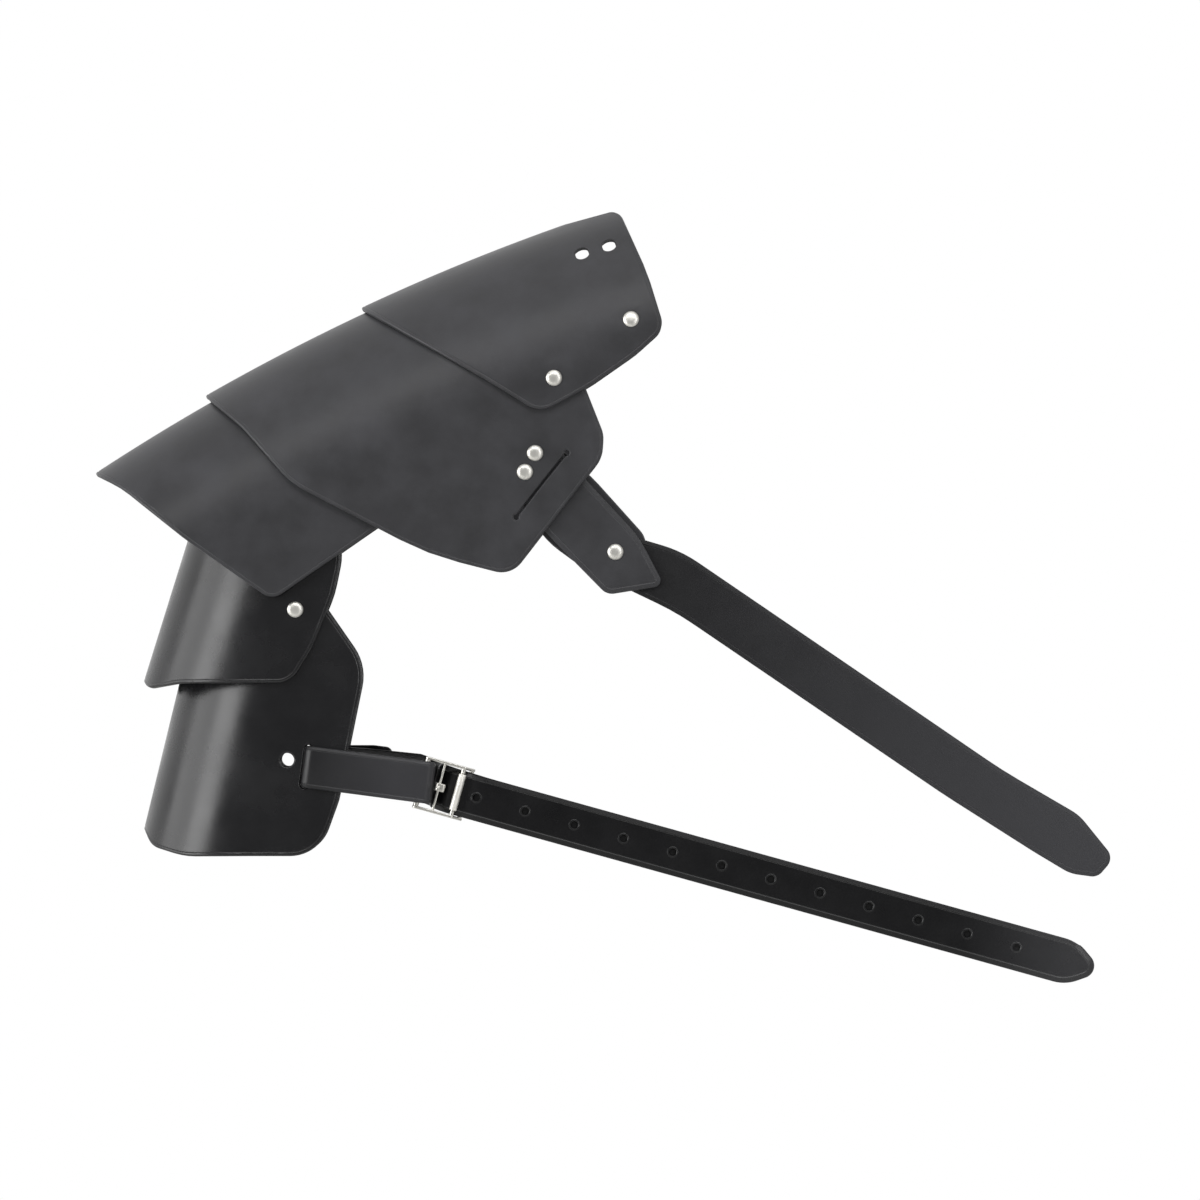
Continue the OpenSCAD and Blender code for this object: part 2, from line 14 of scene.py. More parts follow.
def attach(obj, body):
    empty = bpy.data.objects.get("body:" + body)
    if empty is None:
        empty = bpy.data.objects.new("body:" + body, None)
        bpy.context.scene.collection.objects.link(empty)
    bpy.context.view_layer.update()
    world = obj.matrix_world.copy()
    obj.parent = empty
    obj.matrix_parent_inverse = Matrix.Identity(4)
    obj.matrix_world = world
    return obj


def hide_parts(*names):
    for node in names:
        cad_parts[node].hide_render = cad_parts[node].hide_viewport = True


LOG = logging.getLogger("pauldron")
MM = 0.001
Obj = bpy.types.Object
Point = tuple[float, float]
Knee = tuple[float, float, float]
Wrap = Callable[[float, float, float], Vector]

# Driving sizes of the pauldron in millimetres, and its angles in radians
PLATE_T = 3.0
SHOULDER_HALF = 74.2
PIVOT_GAP = 0.4
HEAD_GAP = 1.6
RIDGE_R = 1200.0
RIDGE_TIP: Point = (-74.1, 35.4)
RIDGE_TOP: Point = (11.4, 79.9)
BELT_W = 25.0
BELT_T = 3.0
BELT_FALL = radians(15.5)
SLOT_TILT = radians(7.5)
TURN_GAP = 0.3
CAP_D = 8.8
CAP_H = 1.9
POST_D = 3.2
BACK_D = 8.2
BACK_H = 1.6
POST_STUB = 0.8  # end of a post inside its closing cap
PIVOT_PLAY = 0.12  # what a pivot's hole is wider than its post
LACE_D = 7.1
ARM_HOLE_D = 7.5
SLIT_W = 1.2
SLIT_END_D = 3.0
SLOT_W = 4.4
SLOT_SHORT = 0.6  # what each end of the slot stays short, so that no white shows there
CHAPE_W = 23.0
ROLLER_R = 2.1

NECK_HALF = SHOULDER_HALF + PIVOT_GAP + PLATE_T
CAP_HALF = SHOULDER_HALF - PLATE_T - HEAD_GAP
UPPER_HALF = CAP_HALF - PLATE_T - CAP_H - TURN_GAP
LOWER_HALF = UPPER_HALF - PLATE_T - PIVOT_GAP
SHOULDER_IN = SHOULDER_HALF - PLATE_T
STRIP_FACE = CAP_HALF - PLATE_T - TURN_GAP
STRIP_RISE = 17.0
STRIP_LOW = sqrt((UPPER_HALF - PLATE_T) ** 2 - STRIP_RISE ** 2) - TURN_GAP
STRIP_T = 2.2
LEG_T = (SHOULDER_IN - STRIP_FACE) / 2
CHEST_T = 2.4
STRAP_FACE = SHOULDER_IN - LEG_T - TURN_GAP
BACK_LEG_FACE = STRAP_FACE - CHEST_T - TURN_GAP
CHAPE_FRONT = LOWER_HALF + 0.4
CHAPE_BACK = LOWER_HALF - PLATE_T - 0.4
BAR_Y = (CHAPE_FRONT + CHAPE_BACK) / 2
CHAPE_R = (CHAPE_FRONT - CHAPE_BACK) / 2

NECK_CORNER: Point = (158.6, 76.8)
NECK_PIVOT: Point = (116.6, 44.7)
LACE_HOLES: list[Point] = [(131.9, 112.8), (146.6, 117.2)]
STRAP_PAIR: list[Point] = [(106.3, 3.8), (100.8, -6.5)]
SLIT: tuple[Point, Point] = ((123.5, 3.8), (95.9, -31.1))
CAP_PIVOT: Point = (40.0, -14.0)
ARM_PIVOT: Point = (-21.8, -43.6)
ELBOW_PIVOT: Point = (-24.5, -81.5)
CHEST_RIVET: Point = (150.1, -50.1)
ARM_HOLE: Point = (-28.9, -163.5)
SLOT_AT: Point = (-18.5, -167.2)
ROLLER_AT: Point = (64.05, -181.2)
ROOT_RIVET: Point = (21.5, -167.9)
ROLLER_REACH = 10.6
CHAPE_REACH = 9.6
CHAPE_BAR_X = -ROLLER_REACH - CHAPE_REACH

NECK_OUTLINE: list[Knee] = [
    (-9.6, 95.6, 0), (-10, 118, 0), (60, 112, 0), (151.9, 137.2, 6), (167.4, 102.5, 90),
    (176.8, 72, 10), (161.5, 58, 60), (136, 40.2, 60), (109, 25.5, 14), (80, 43.5, 60)]
SHOULDER_OUTLINE: list[Knee] = [
    (-98, 55.5, 0), (-90, 70, 0), (20, 120, 0), (36, 92, 14), (98, 62, 40),
    (128, 54, 8), (143.8, 14, 15), (143, 1.5, 18), (93, -63, 14), (48, -51.5, 150),
    (-27, -12.5, 50), (-54, 18.5, 60)]
CAP_OUTLINE: list[Knee] = [
    (-155, 3.3, 0), (-150, 30, 0), (-60, 70, 0), (-51, 38, 12), (-16, 10, 40),
    (44, -1, 9), (51, -16, 9), (20, -37, 40), (-37, -76.5, 9), (-84, -43.5, 100), (-121, -13.6, 60)]
UPPER_OUTLINE: list[Knee] = [
    (-125, -27, 0), (-78, -28, 0), (-40, -26, 30), (-8, -29, 12),
    (1.6, -48, 30), (-3.5, -73, 60), (-15, -102, 40), (-27, -121.5, 14), (-88, -121.5, 30),
    (-106.2, -124.5, 4), (-113, -111, 0)]
LOWER_OUTLINE: list[Knee] = [
    (-130, -108, 0), (-78, -104, 0), (-45, -74, 30), (-22, -66, 12),
    (-9, -79, 24), (13.9, -112, 28), (-1.2, -186, 30), (-12, -216, 22), (-86, -216, 40),
    (-103.8, -210.6, 9), (-113, -190, 0)]
FRONT_LEG_OUTLINE: list[Knee] = [
    (97, 13, 7), (113, 13, 7), (136, -13, 60), (163, -42, 60), (177, -68.5, 4),
    (145.5, -73.5, 8), (113, -40.5, 50), (93, -14, 7)]
BACK_LEG_OUTLINE: list[Knee] = [
    (97, 13, 7), (113, 13, 7), (139, -11, 60), (166, -41, 12), (169, -60, 12),
    (149, -71, 8), (112, -44, 50), (93, -14, 7)]
STRIP_OUTLINE: list[Knee] = [
    (114, 12, 7), (92, 11, 30), (40, -4.5, 60), (-24, -34, 9), (-32, -50, 9),
    (38, -23.5, 60), (94, -15, 30), (113, -15, 7)]
CHEST_OUTLINE: list[Knee] = [
    (142, -36.5, 8), (186, -49.5, 70), (285, -117, 400), (361, -169, 300),
    (403, -193.5, 28), (422, -217, 7), (413, -227.5, 7), (398, -225.5, 22), (378, -213.5, 150),
    (330, -183, 300), (183, -83, 150), (137, -61, 8)]


class Side(Enum):
    """Side of the wearer: the front faces the viewer."""

    FRONT = -1
    REAR = 1


def unit(v: Point) -> Point:
    """Vector of length one along v."""
    n = hypot(*v)
    return (v[0] / n, v[1] / n)


def rounded(knees: list[Knee], step: float = 7.0) -> list[Point]:
    """Outline with an arc at each corner, limited by the sides that it meets.

    Args:
        knees: corners as (x, z, radius).
        step: largest turn between two points of an arc, in degrees.

    Returns:
        The outline's points in order.
    """
    # An arc takes at most this share of a side; smaller and flatter arcs stay plain corners
    share, least_r, flattest = 0.48, 0.01, radians(89.5)
    out: list[Point] = []
    n = len(knees)
    for i, (px, pz, radius) in enumerate(knees):
        before, after = knees[i - 1], knees[(i + 1) % n]
        a, b = (before[0] - px, before[1] - pz), (after[0] - px, after[1] - pz)
        u, v = unit(a), unit(b)
        half = acos(max(-1.0, min(1.0, u[0] * v[0] + u[1] * v[1]))) / 2
        r = min(radius, share * min(hypot(*a), hypot(*b)) * tan(half))
        if r < least_r or half > flattest:
            out.append((px, pz))
            continue
        w = unit((u[0] + v[0], u[1] + v[1]))
        c = (px + w[0] * r / sin(half), pz + w[1] * r / sin(half))
        d = r / tan(half)
        a0 = atan2(pz + u[1] * d - c[1], px + u[0] * d - c[0])
        a1 = atan2(pz + v[1] * d - c[1], px + v[0] * d - c[0])
        turn = remainder(a1 - a0, tau)
        k = max(1, ceil(abs(degrees(turn)) / step))
        out += [(c[0] + r * cos(a0 + turn * j / k), c[1] + r * sin(a0 + turn * j / k))
                for j in range(k + 1)]
    return out


def part(x: float, low: float, high: float) -> float:
    """Share of the way from low to high, held between 0 and 1."""
    return max(0.0, min(1.0, (x - low) / (high - low)))


def ease(x: float, low: float, high: float) -> float:
    """Share of the way from low to high, eased at both ends."""
    t = part(x, low, high)
    return t * t * (3 - 2 * t)


def dense(points: list[Point], step: float) -> list[Point]:
    """Closed outline with extra points, so that no side is longer than step."""
    out: list[Point] = []
    for p, q in zip(points, points[1:] + points[:1]):
        k = max(1, ceil(dist(p, q) / step))
        out += [(p[0] + (q[0] - p[0]) * j / k, p[1] + (q[1] - p[1]) * j / k) for j in range(k)]
    return out


# Materials


def linear(hex_colour: str) -> tuple[float, float, float, float]:
    """Linear RGBA of an sRGB hex colour."""
    parts = [int(hex_colour[i:i + 2], 16) / 255 for i in (1, 3, 5)]
    r, g, b = (c / 12.92 if c <= 0.04045 else ((c + 0.055) / 1.055) ** 2.4 for c in parts)
    return (r, g, b, 1.0)


def add_node(tree: bpy.types.NodeTree, kind: str, inputs: dict | None = None,
             **settings: str) -> bpy.types.Node:
    """Adds one shader node.

    Args:
        tree: the material's or world's node tree.
        kind: the node's type name, without its common beginning.
        inputs: socket name or number to a value, or to another node's output socket.
        settings: attributes of the node.

    Returns:
        The new node.
    """
    node = tree.nodes.new("ShaderNode" + kind)
    for name, value in settings.items():
        setattr(node, name, value)
    for name, value in (inputs or {}).items():
        socket = node.inputs[name]
        if isinstance(value, bpy.types.NodeSocket):
            tree.links.new(value, socket)
        else:
            socket.default_value = value
    return node


def remap(tree: bpy.types.NodeTree, value: bpy.types.NodeSocket, source: Point, target: Point,
          **settings: str) -> bpy.types.NodeSocket:
    """Moves a shader value from the source range to the target range."""
    return add_node(tree, "MapRange", {
        "Value": value, "From Min": source[0], "From Max": source[1],
        "To Min": target[0], "To Max": target[1]}, **settings).outputs["Result"]


def bare_tree(owner: bpy.types.ID) -> bpy.types.NodeTree:
    """Emptied node tree of a material or world."""
    owner.use_nodes = True
    owner.node_tree.nodes.clear()
    return owner.node_tree


def new_material(name: str) -> tuple[bpy.types.Material, bpy.types.NodeTree]:
    """Material with its emptied node tree."""
    mat = bpy.data.materials.new(name)
    return mat, bare_tree(mat)


@dataclass(frozen=True)
class LeatherFinish:
    """Vegetable-tanned cowhide, drum-dyed black and waxed: fine pebble grain under a soft sheen."""

    name: str
    slot: str
    colour: str
    worn: str
    roughness: float
    shine: float
    grain_mm: float = 0.9
    grain_depth: float = 0.16
    crease_mm: float = 26.0
    # Painted light: colour painted in as a lighter sheen where the leather turns towards the lamps,
    # and the limits of that change along X, in millimetres
    painted_sheen_colour: str = ""
    painted_sheen_span: Point = (0.0, 1.0)

    def build(self) -> bpy.types.Material:
        """Makes the node material."""
        mat, tree = new_material(self.name)
        place = add_node(tree, "TexCoord").outputs["Object"]
        # Cloudy dye take-up over a hand's width
        cloud = add_node(tree, "TexNoise", {
            "Vector": place, "Scale": 1 / (self.crease_mm * MM), "Detail": 4.0,
            "Roughness": 0.6}).outputs["Fac"]
        # Pebbled pores, about a millimetre across, a little coarser than real so that they show
        pores = add_node(tree, "TexVoronoi", {
            "Vector": place, "Scale": 1 / (self.grain_mm * MM), "Smoothness": 0.6},
            feature="SMOOTH_F1")
        fine = add_node(tree, "TexNoise", {
            "Vector": place, "Scale": 1 / (self.grain_mm * 0.45 * MM), "Detail": 3.0})
        tint = add_node(tree, "MixRGB", {
            "Fac": remap(tree, cloud, (0.35, 0.75), (0.0, 1.0)),
            "Color1": linear(self.colour), "Color2": linear(self.worn)})
        # Painted sheen: the colour is painted lighter along X, where the leather turns towards the
        # light
        if self.painted_sheen_colour:
            x = add_node(tree, "SeparateXYZ", {0: place}).outputs["X"]
            along = remap(tree, x, (self.painted_sheen_span[0] * MM, self.painted_sheen_span[1] * MM), (0.0, 1.0))
            tint = add_node(tree, "MixRGB", {
                "Fac": along, "Color1": tint.outputs[0], "Color2": linear(self.painted_sheen_colour)})
        gloss = remap(tree, cloud, (0.3, 0.7), (self.roughness - 0.05, self.roughness + 0.06))
        height = add_node(tree, "Math", {
            0: pores.outputs["Distance"], 1: 0.6, 2: fine.outputs["Fac"]},
            operation="MULTIPLY_ADD")
        swell = add_node(tree, "Bump", {
            "Strength": 0.25, "Distance": 0.6 * MM, "Height": cloud})
        grain = add_node(tree, "Bump", {
            "Strength": self.grain_depth, "Distance": 0.12 * MM, "Height": height.outputs[0],
            "Normal": swell.outputs["Normal"]})
        shader = add_node(tree, "BsdfPrincipled", {
            "Base Color": tint.outputs[0], "Roughness": gloss,
            "Normal": grain.outputs["Normal"], "IOR": 1.48, "Specular IOR Level": self.shine,
            "Sheen Weight": 0.02, "Sheen Roughness": 0.5})
        add_node(tree, "OutputMaterial", {"Surface": shader.outputs[0]})
        return mat


@dataclass(frozen=True)
class MetalFinish:
    """Nickel-plated brass or steel, barrel-polished: bright, with faint tumbling marks."""

    name: str
    slot: str
    colour: str
    roughness: float
    mark_mm: float = 0.5

    def build(self) -> bpy.types.Material:
        """Makes the node material."""
        mat, tree = new_material(self.name)
        place = add_node(tree, "TexCoord").outputs["Object"]
        marks = add_node(tree, "TexNoise", {
            "Vector": place, "Scale": 1 / (self.mark_mm * MM), "Detail": 5.0,
            "Roughness": 0.7}).outputs["Fac"]
        gloss = remap(tree, marks, (0.3, 0.7), (self.roughness - 0.04, self.roughness + 0.04))
        bump = add_node(tree, "Bump", {"Strength": 0.02, "Distance": 0.02 * MM, "Height": marks})
        shader = add_node(tree, "BsdfPrincipled", {
            "Base Color": linear(self.colour), "Metallic": 1.0, "Roughness": gloss,
            "Normal": bump.outputs["Normal"]})
        add_node(tree, "OutputMaterial", {"Surface": shader.outputs[0]})
        return mat


class Finish(Enum):
    """The finishes of the pauldron."""

    PLATE = LeatherFinish("waxed_cowhide_plates", "plate_leather", "#323234", "#3d3d40", 0.40, 0.34)
    ARM = LeatherFinish("waxed_cowhide_arm", "arm_leather", "#111113", "#171719", 0.25, 0.5)
    # The belt and the chest strap are painted lighter towards their free ends, and the chape
    # towards the buckle: painted sheen where they turn towards the lamps
    STRAP = LeatherFinish("bridle_leather_straps", "strap_leather", "#070709", "#0c0c0e", 0.30,
                          0.36, painted_sheen_colour="#353537", painted_sheen_span=(340.0, 400.0))
    CHAPE = LeatherFinish("bridle_leather_chape", "strap_leather", "#161618", "#1c1c1e", 0.42, 0.4,
                          painted_sheen_colour="#313134", painted_sheen_span=(-14.0, 30.0))
    CHEST = LeatherFinish("matt_grained_cowhide", "chest_leather", "#101012", "#161618", 0.50, 0.3,
                          0.8, 0.4, painted_sheen_colour="#39393c", painted_sheen_span=(170.0, 400.0))
    RIVET = MetalFinish("nickel_plated_caps", "rivet_metal", "#dedcd6", 0.40)
    # The belt keeps the roller dull, while the frame stays brighter
    ROLLER = MetalFinish("nickel_plated_roller", "buckle_metal", "#f0eee8", 0.52)
    BUCKLE = MetalFinish("nickel_plated_buckle", "buckle_metal", "#dcdad4", 0.32)


# Mesh helpers that work as by hand, in edit mode


def ring(name: str, points: list[tuple[float, float, float]], fill: str) -> Obj:
    """Circle primitive whose points are moved to a drawn line.

    Args:
        name: the new object's name.
        points: places of the points in order.
        fill: NGON for a cut blank, NOTHING for an open line.

    Returns:
        The object, selected and active.
    """
    bpy.ops.object.select_all(action="DESELECT")
    bpy.ops.mesh.primitive_circle_add(vertices=len(points), radius=1.0, fill_type=fill)
    obj = bpy.context.view_layer.objects.active
    obj.name = obj.data.name = name
    # Blender numbers a circle's points one way round, and the line runs the other way
    for k, p in enumerate(points):
        obj.data.vertices[(1 - k) % len(points)].co = p
    pick(obj)
    return obj


def pick(*objs: Obj) -> None:
    """Selects only these objects and makes the first one active."""
    bpy.ops.object.select_all(action="DESELECT")
    for o in objs:
        o.select_set(True)
    bpy.context.view_layer.objects.active = objs[0]


def edit(mode: str = "FACE") -> None:
    """Enters edit mode with everything selected."""
    bpy.ops.object.mode_set(mode="EDIT")
    bpy.ops.mesh.select_mode(type=mode)
    bpy.ops.mesh.select_all(action="SELECT")


def leave() -> None:
    """Leaves edit mode."""
    bpy.ops.object.mode_set(mode="OBJECT")


def close_mesh() -> None:
    """Turns all normals outward and leaves edit mode."""
    bpy.ops.mesh.select_all(action="SELECT")
    bpy.ops.mesh.normals_make_consistent(inside=False)
    leave()


def shift(obj: Obj, by: Knee | Vector) -> None:
    """Moves the points of a piece."""
    for v in obj.data.vertices:
        v.co += Vector(by)


def apply_modifier(obj: Obj, kind: str, **settings: object) -> None:
    """Adds a modifier with its settings and applies it."""
    pick(obj)
    mod = obj.modifiers.new(kind.lower(), kind)
    for name, value in settings.items():
        setattr(mod, name, value)
    bpy.ops.object.modifier_apply(modifier=mod.name)


def carve(obj: Obj, tool: Obj, operation: str = "DIFFERENCE") -> None:
    """Cuts a piece with a tool, or adds the tool to it, and throws the tool away."""
    apply_modifier(obj, "BOOLEAN", operation=operation, object=tool, solver="EXACT")
    bpy.data.objects.remove(tool)


def join(parts: list[Obj], name: str) -> Obj:
    """Joins objects into one with the given name."""
    pick(*parts)
    if len(parts) > 1:
        bpy.ops.object.join()
    obj = bpy.context.view_layer.objects.active
    obj.name = obj.data.name = name
    return obj


def finish_piece(obj: Obj, finish: Finish, body: str, nodes: Iterable[str]) -> None:
    """Smooths, dresses and places a finished piece on its body.

    Args:
        obj: the piece, with its place in its mesh.
        finish: its material.
        body: the CAD body that it rides on.
        nodes: the CAD nodes that it replaces.
    """
    leather = isinstance(finish.value, LeatherFinish)
    pick(obj)
    bpy.ops.object.shade_smooth_by_angle(angle=LEATHER_ANGLE if leather else METAL_ANGLE)
    if leather:
        apply_modifier(obj, "WEIGHTED_NORMAL", keep_sharp=True)
    obj.data.materials.clear()
    obj.data.materials.append(MATERIALS[finish])
    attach(obj, body)
    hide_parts(*nodes)
    LOG.info("%s: %d faces on %s", obj.name, len(obj.data.polygons), body)


MATERIALS: dict[Finish, bpy.types.Material] = {}
# Sharpest edges that are shaded smooth, and the sharpest that isn't rounded by a bevel
LEATHER_ANGLE = radians(32)
METAL_ANGLE = radians(40)
BEVEL_ANGLE = radians(50)
# Distances that make the leather's small forms, and two for merging points, in millimetres
CREASE_HALF = 0.45
LEVEL_HALF = 1.1
OUTLINE_STEP = 2.5
SCORE_ACROSS = 2.6
SCORE_ALONG = 3.5
WELD = 0.004
SPUN_WELD = 0.001


# Leather blanks: cut flat, edged, creased and punched, then wrapped


@dataclass(frozen=True)
class Edge:
    """Dressing of a cut edge: rounding, crease line inside it and thinned margin, in mm."""

    bevel: float
    crease_in: float = 0.0
    crease_depth: float = 0.0
    skive: float = 0.0


PLATE_EDGE = Edge(1.0, 1.9, 0.19)
LEG_EDGE = Edge(0.7, 2.8, 0.2, 0.4)
CHEST_EDGE = Edge(0.7, 2.6, 0.2, 0.5)
BELT_EDGE = Edge(0.8, 3.2, 0.2, 1.1)
CHAPE_EDGE = Edge(0.7, 2.2, 0.2, 0.6)


@dataclass
class Blank:
    """A flat piece, in millimetres: x and y in its plane, z its thickness."""

    name: str
    outline: list[Point]
    thickness: float
    edge: Edge
    holes: list[tuple[Point, float]] = field(default_factory=list)
    slots: list[tuple[Point, Point, float]] = field(default_factory=list)
    slants: list[tuple[Point, float, float]] = field(default_factory=list)

    def cut(self) -> Obj:
        """Cuts the outline, gives the thickness, presses the crease, punches and rounds."""
        obj = ring(self.name, [(x, y, 0.0) for x, y in self.outline], "NGON")
        edit()
        bpy.ops.mesh.normals_make_consistent(inside=False)
        bpy.ops.mesh.extrude_region_move(
            TRANSFORM_OT_translate={"value": (0, 0, self.thickness)})
        close_mesh()
        if self.edge.crease_in:
            self.press(obj)
        self.pare(obj)
        cutters = [self.punch(p, p, d) for p, d in self.holes]
        cutters += [self.punch(p, q, w) for p, q, w in self.slots]
        cutters += [self.punch((p[0], p[1] - LEVEL_HALF), (p[0], p[1] + LEVEL_HALF), d, slant)
                    for p, d, slant in self.slants]
        for c in cutters:
            carve(obj, c)
        apply_modifier(obj, "BEVEL", width=self.edge.bevel, segments=3, limit_method="ANGLE",
                       angle_limit=BEVEL_ANGLE, use_clamp_overlap=False)
        return obj

    def pare(self, obj: Obj) -> None:
        """Thins the margin outside the crease, so that it slopes down to the cut edge."""
        tall, apart = self.thickness * 0.9, 0.001
        place = [v.co.copy() for v in obj.data.vertices]
        for e in obj.data.edges:
            a, b = (place[i] for i in e.vertices)
            if abs(a.z - b.z) > tall and dist(a.xy, b.xy) < apart:
                top = e.vertices[0] if a.z > b.z else e.vertices[1]
                obj.data.vertices[top].co.z = self.thickness - self.edge.skive

    def press(self, obj: Obj) -> None:
        """Presses the crease line into the top face."""
        pick(obj)
        edit()
        bpy.ops.mesh.select_all(action="DESELECT")
        leave()
        top = max(obj.data.polygons, key=lambda f: f.area * (f.center.z > self.thickness / 2))
        top.select = True
        bpy.ops.object.mode_set(mode="EDIT")
        margin, depth = self.edge.crease_in - CREASE_HALF, self.edge.crease_depth
        for wide, sink in ((margin, 0), (CREASE_HALF, -depth), (CREASE_HALF, depth)):
            bpy.ops.mesh.inset(thickness=wide, depth=sink)
        leave()

    def punch(self, p: Point, q: Point, d: float, slant: float = 0.0) -> Obj:
        """Punch for a round hole, or for a slot with round ends from p to q.

        Args:
            p: centre of the first end, on the top face.
            q: centre of the other end, the same for a round hole.
            d: width of the punch.
            slant: how far it moves along y for each unit of height.

        Returns:
            The cutter.
        """
        steps, below, above = 32, 5.0, 5.0
        turn = atan2(q[1] - p[1], q[0] - p[0]) if p != q else 0.0
        rim = [(q, turn - pi / 2 + pi * i / steps) for i in range(steps + 1)]
        rim += [(p, turn + pi / 2 + pi * i / steps) for i in range(steps + 1)]
        foot = slant * (below + self.thickness)
        pts = [(c[0] + d / 2 * cos(a), c[1] - foot + d / 2 * sin(a), -below) for c, a in rim]
        if p == q:
            pts = pts[:steps] + pts[steps + 1:-1]
        obj = ring("punch", pts, "NGON")
        edit()
        rise = below + self.thickness + above
        bpy.ops.mesh.extrude_region_move(
            TRANSFORM_OT_translate={"value": (0, slant * rise, rise)})
        close_mesh()
        return obj


def score(obj: Obj, axis: int, places: Iterable[float]) -> None:
    """Bisects a flat blank across one axis at each place, so that it can bend there."""
    pick(obj)
    edit()
    normal = tuple(1.0 if i == axis else 0.0 for i in range(3))
    for at in places:
        bpy.ops.mesh.select_all(action="SELECT")
        bpy.ops.mesh.bisect(plane_co=tuple(at * c for c in normal), plane_no=normal)
    leave()


def spread(low: float, high: float, step: float) -> list[float]:
    """Even places between two limits, no further apart than step."""
    n = max(1, ceil((high - low) / step))
    return [low + (high - low) * i / n for i in range(1, n)]


def wrap(obj: Obj, form: Wrap) -> None:
    """Moves each point of a flat blank, in millimetres, to its place on the form, in metres."""
    for v in obj.data.vertices:
        v.co = form(*v.co) * MM
    pick(obj)
    edit()
    bpy.ops.mesh.remove_doubles(threshold=WELD * MM)
    close_mesh()


def swell(obj: Obj, rivets: list[Point], top: float) -> None:
    """Raises the leather of a flat blank softly round each rivet, as the closing tool does."""
    ring_r, width, lift, far, upper = 7.2, 1.9, 0.32, 99.0, top * 0.6
    for v in obj.data.vertices:
        if v.co.z > upper:
            near = min((dist(v.co.xy, r) for r in rivets), default=far)
            v.co.z += lift * exp(-((near - ring_r) / width) ** 2)


@dataclass(frozen=True)
class RidgeForm:
    """Form of a shoulder plate: an arch of half width half_w along the long ridge curve."""

    half_w: float

    @property
    def centre(self) -> Point:
        """Centre of the ridge curve, seen from the front."""
        dx, dz = RIDGE_TOP[0] - RIDGE_TIP[0], RIDGE_TOP[1] - RIDGE_TIP[1]
        chord = hypot(dx, dz)
        rise = sqrt(RIDGE_R ** 2 - (chord / 2) ** 2)
        return ((RIDGE_TIP[0] + RIDGE_TOP[0]) / 2 + dz / chord * rise,
                (RIDGE_TIP[1] + RIDGE_TOP[1]) / 2 - dx / chord * rise)

    @property
    def axis_r(self) -> float:
        """Radius of the arch's axis."""
        return RIDGE_R - SHOULDER_HALF

    def flat(self, p: Point) -> tuple[float, float]:
        """Place along the ridge and height over the axis of a point seen from the front."""
        dx, dz = p[0] - self.centre[0], p[1] - self.centre[1]
        return -atan2(dz, dx) * self.axis_r, hypot(dx, dz) - self.axis_r

    def world(self, s: float, v: float, y: float) -> Vector:
        """Point in the row frame."""
        a = -s / self.axis_r
        r = self.axis_r + v
        return Vector((self.centre[0] + r * cos(a), y, self.centre[1] + r * sin(a)))


@dataclass(frozen=True)
class ArmForm:
    """Form of an arm plate: a straight arch that leans like the arm, ridge through a point."""

    half_w: float
    ridge: Point
    lean: float

    def flat(self, p: Point) -> tuple[float, float]:
        """Place along the ridge and height over the axis of a point seen from the front."""
        a = radians(self.lean)
        dx, dz = p[0] - self.ridge[0], p[1] - self.ridge[1]
        return dx * cos(a) + dz * sin(a), -dx * sin(a) + dz * cos(a) + self.half_w

    def world(self, s: float, v: float, y: float) -> Vector:
        """Point in the row frame."""
        a = radians(self.lean)
        h = v - self.half_w
        return Vector((self.ridge[0] + s * cos(a) - h * sin(a), y,
                       self.ridge[1] + s * sin(a) + h * cos(a)))


ArchForm = RidgeForm | ArmForm
NECK_FORM = RidgeForm(NECK_HALF)
UPPER_FORM = ArmForm(UPPER_HALF, (-83.9, -44.1), 72.7)
LOWER_FORM = ArmForm(LOWER_HALF, (-88.3, -121.5), 76.4)


def around(form: ArchForm, v: float) -> float:
    """Distance round the outside of the arch from its crown to a height over its axis."""
    r = form.half_w
    return r * acos(min(1.0, v / r)) if v > 0 else r * pi / 2 - v


def unroll(form: ArchForm, p: Point, side: Side = Side.FRONT) -> Point:
    """Flat pattern point of a point of the arch seen from the front."""
    s, v = form.flat(p)
    return s, -side.value * around(form, v)


def arch_wrap(form: ArchForm) -> Wrap:
    """Wraps a flat blank over an arch: its top face becomes the outside."""

    def place(s: float, w: float, h: float) -> Vector:
        """Point round the arch, or straight below its springing."""
        r = form.half_w
        depth = h - PLATE_T
        side = copysign(1.0, -w)
        turn = abs(w) / r
        if turn < pi / 2:
            return form.world(s, (r + depth) * cos(turn), side * (r + depth) * sin(turn))
        return form.world(s, r * pi / 2 - abs(w), side * (r + depth))

    return place


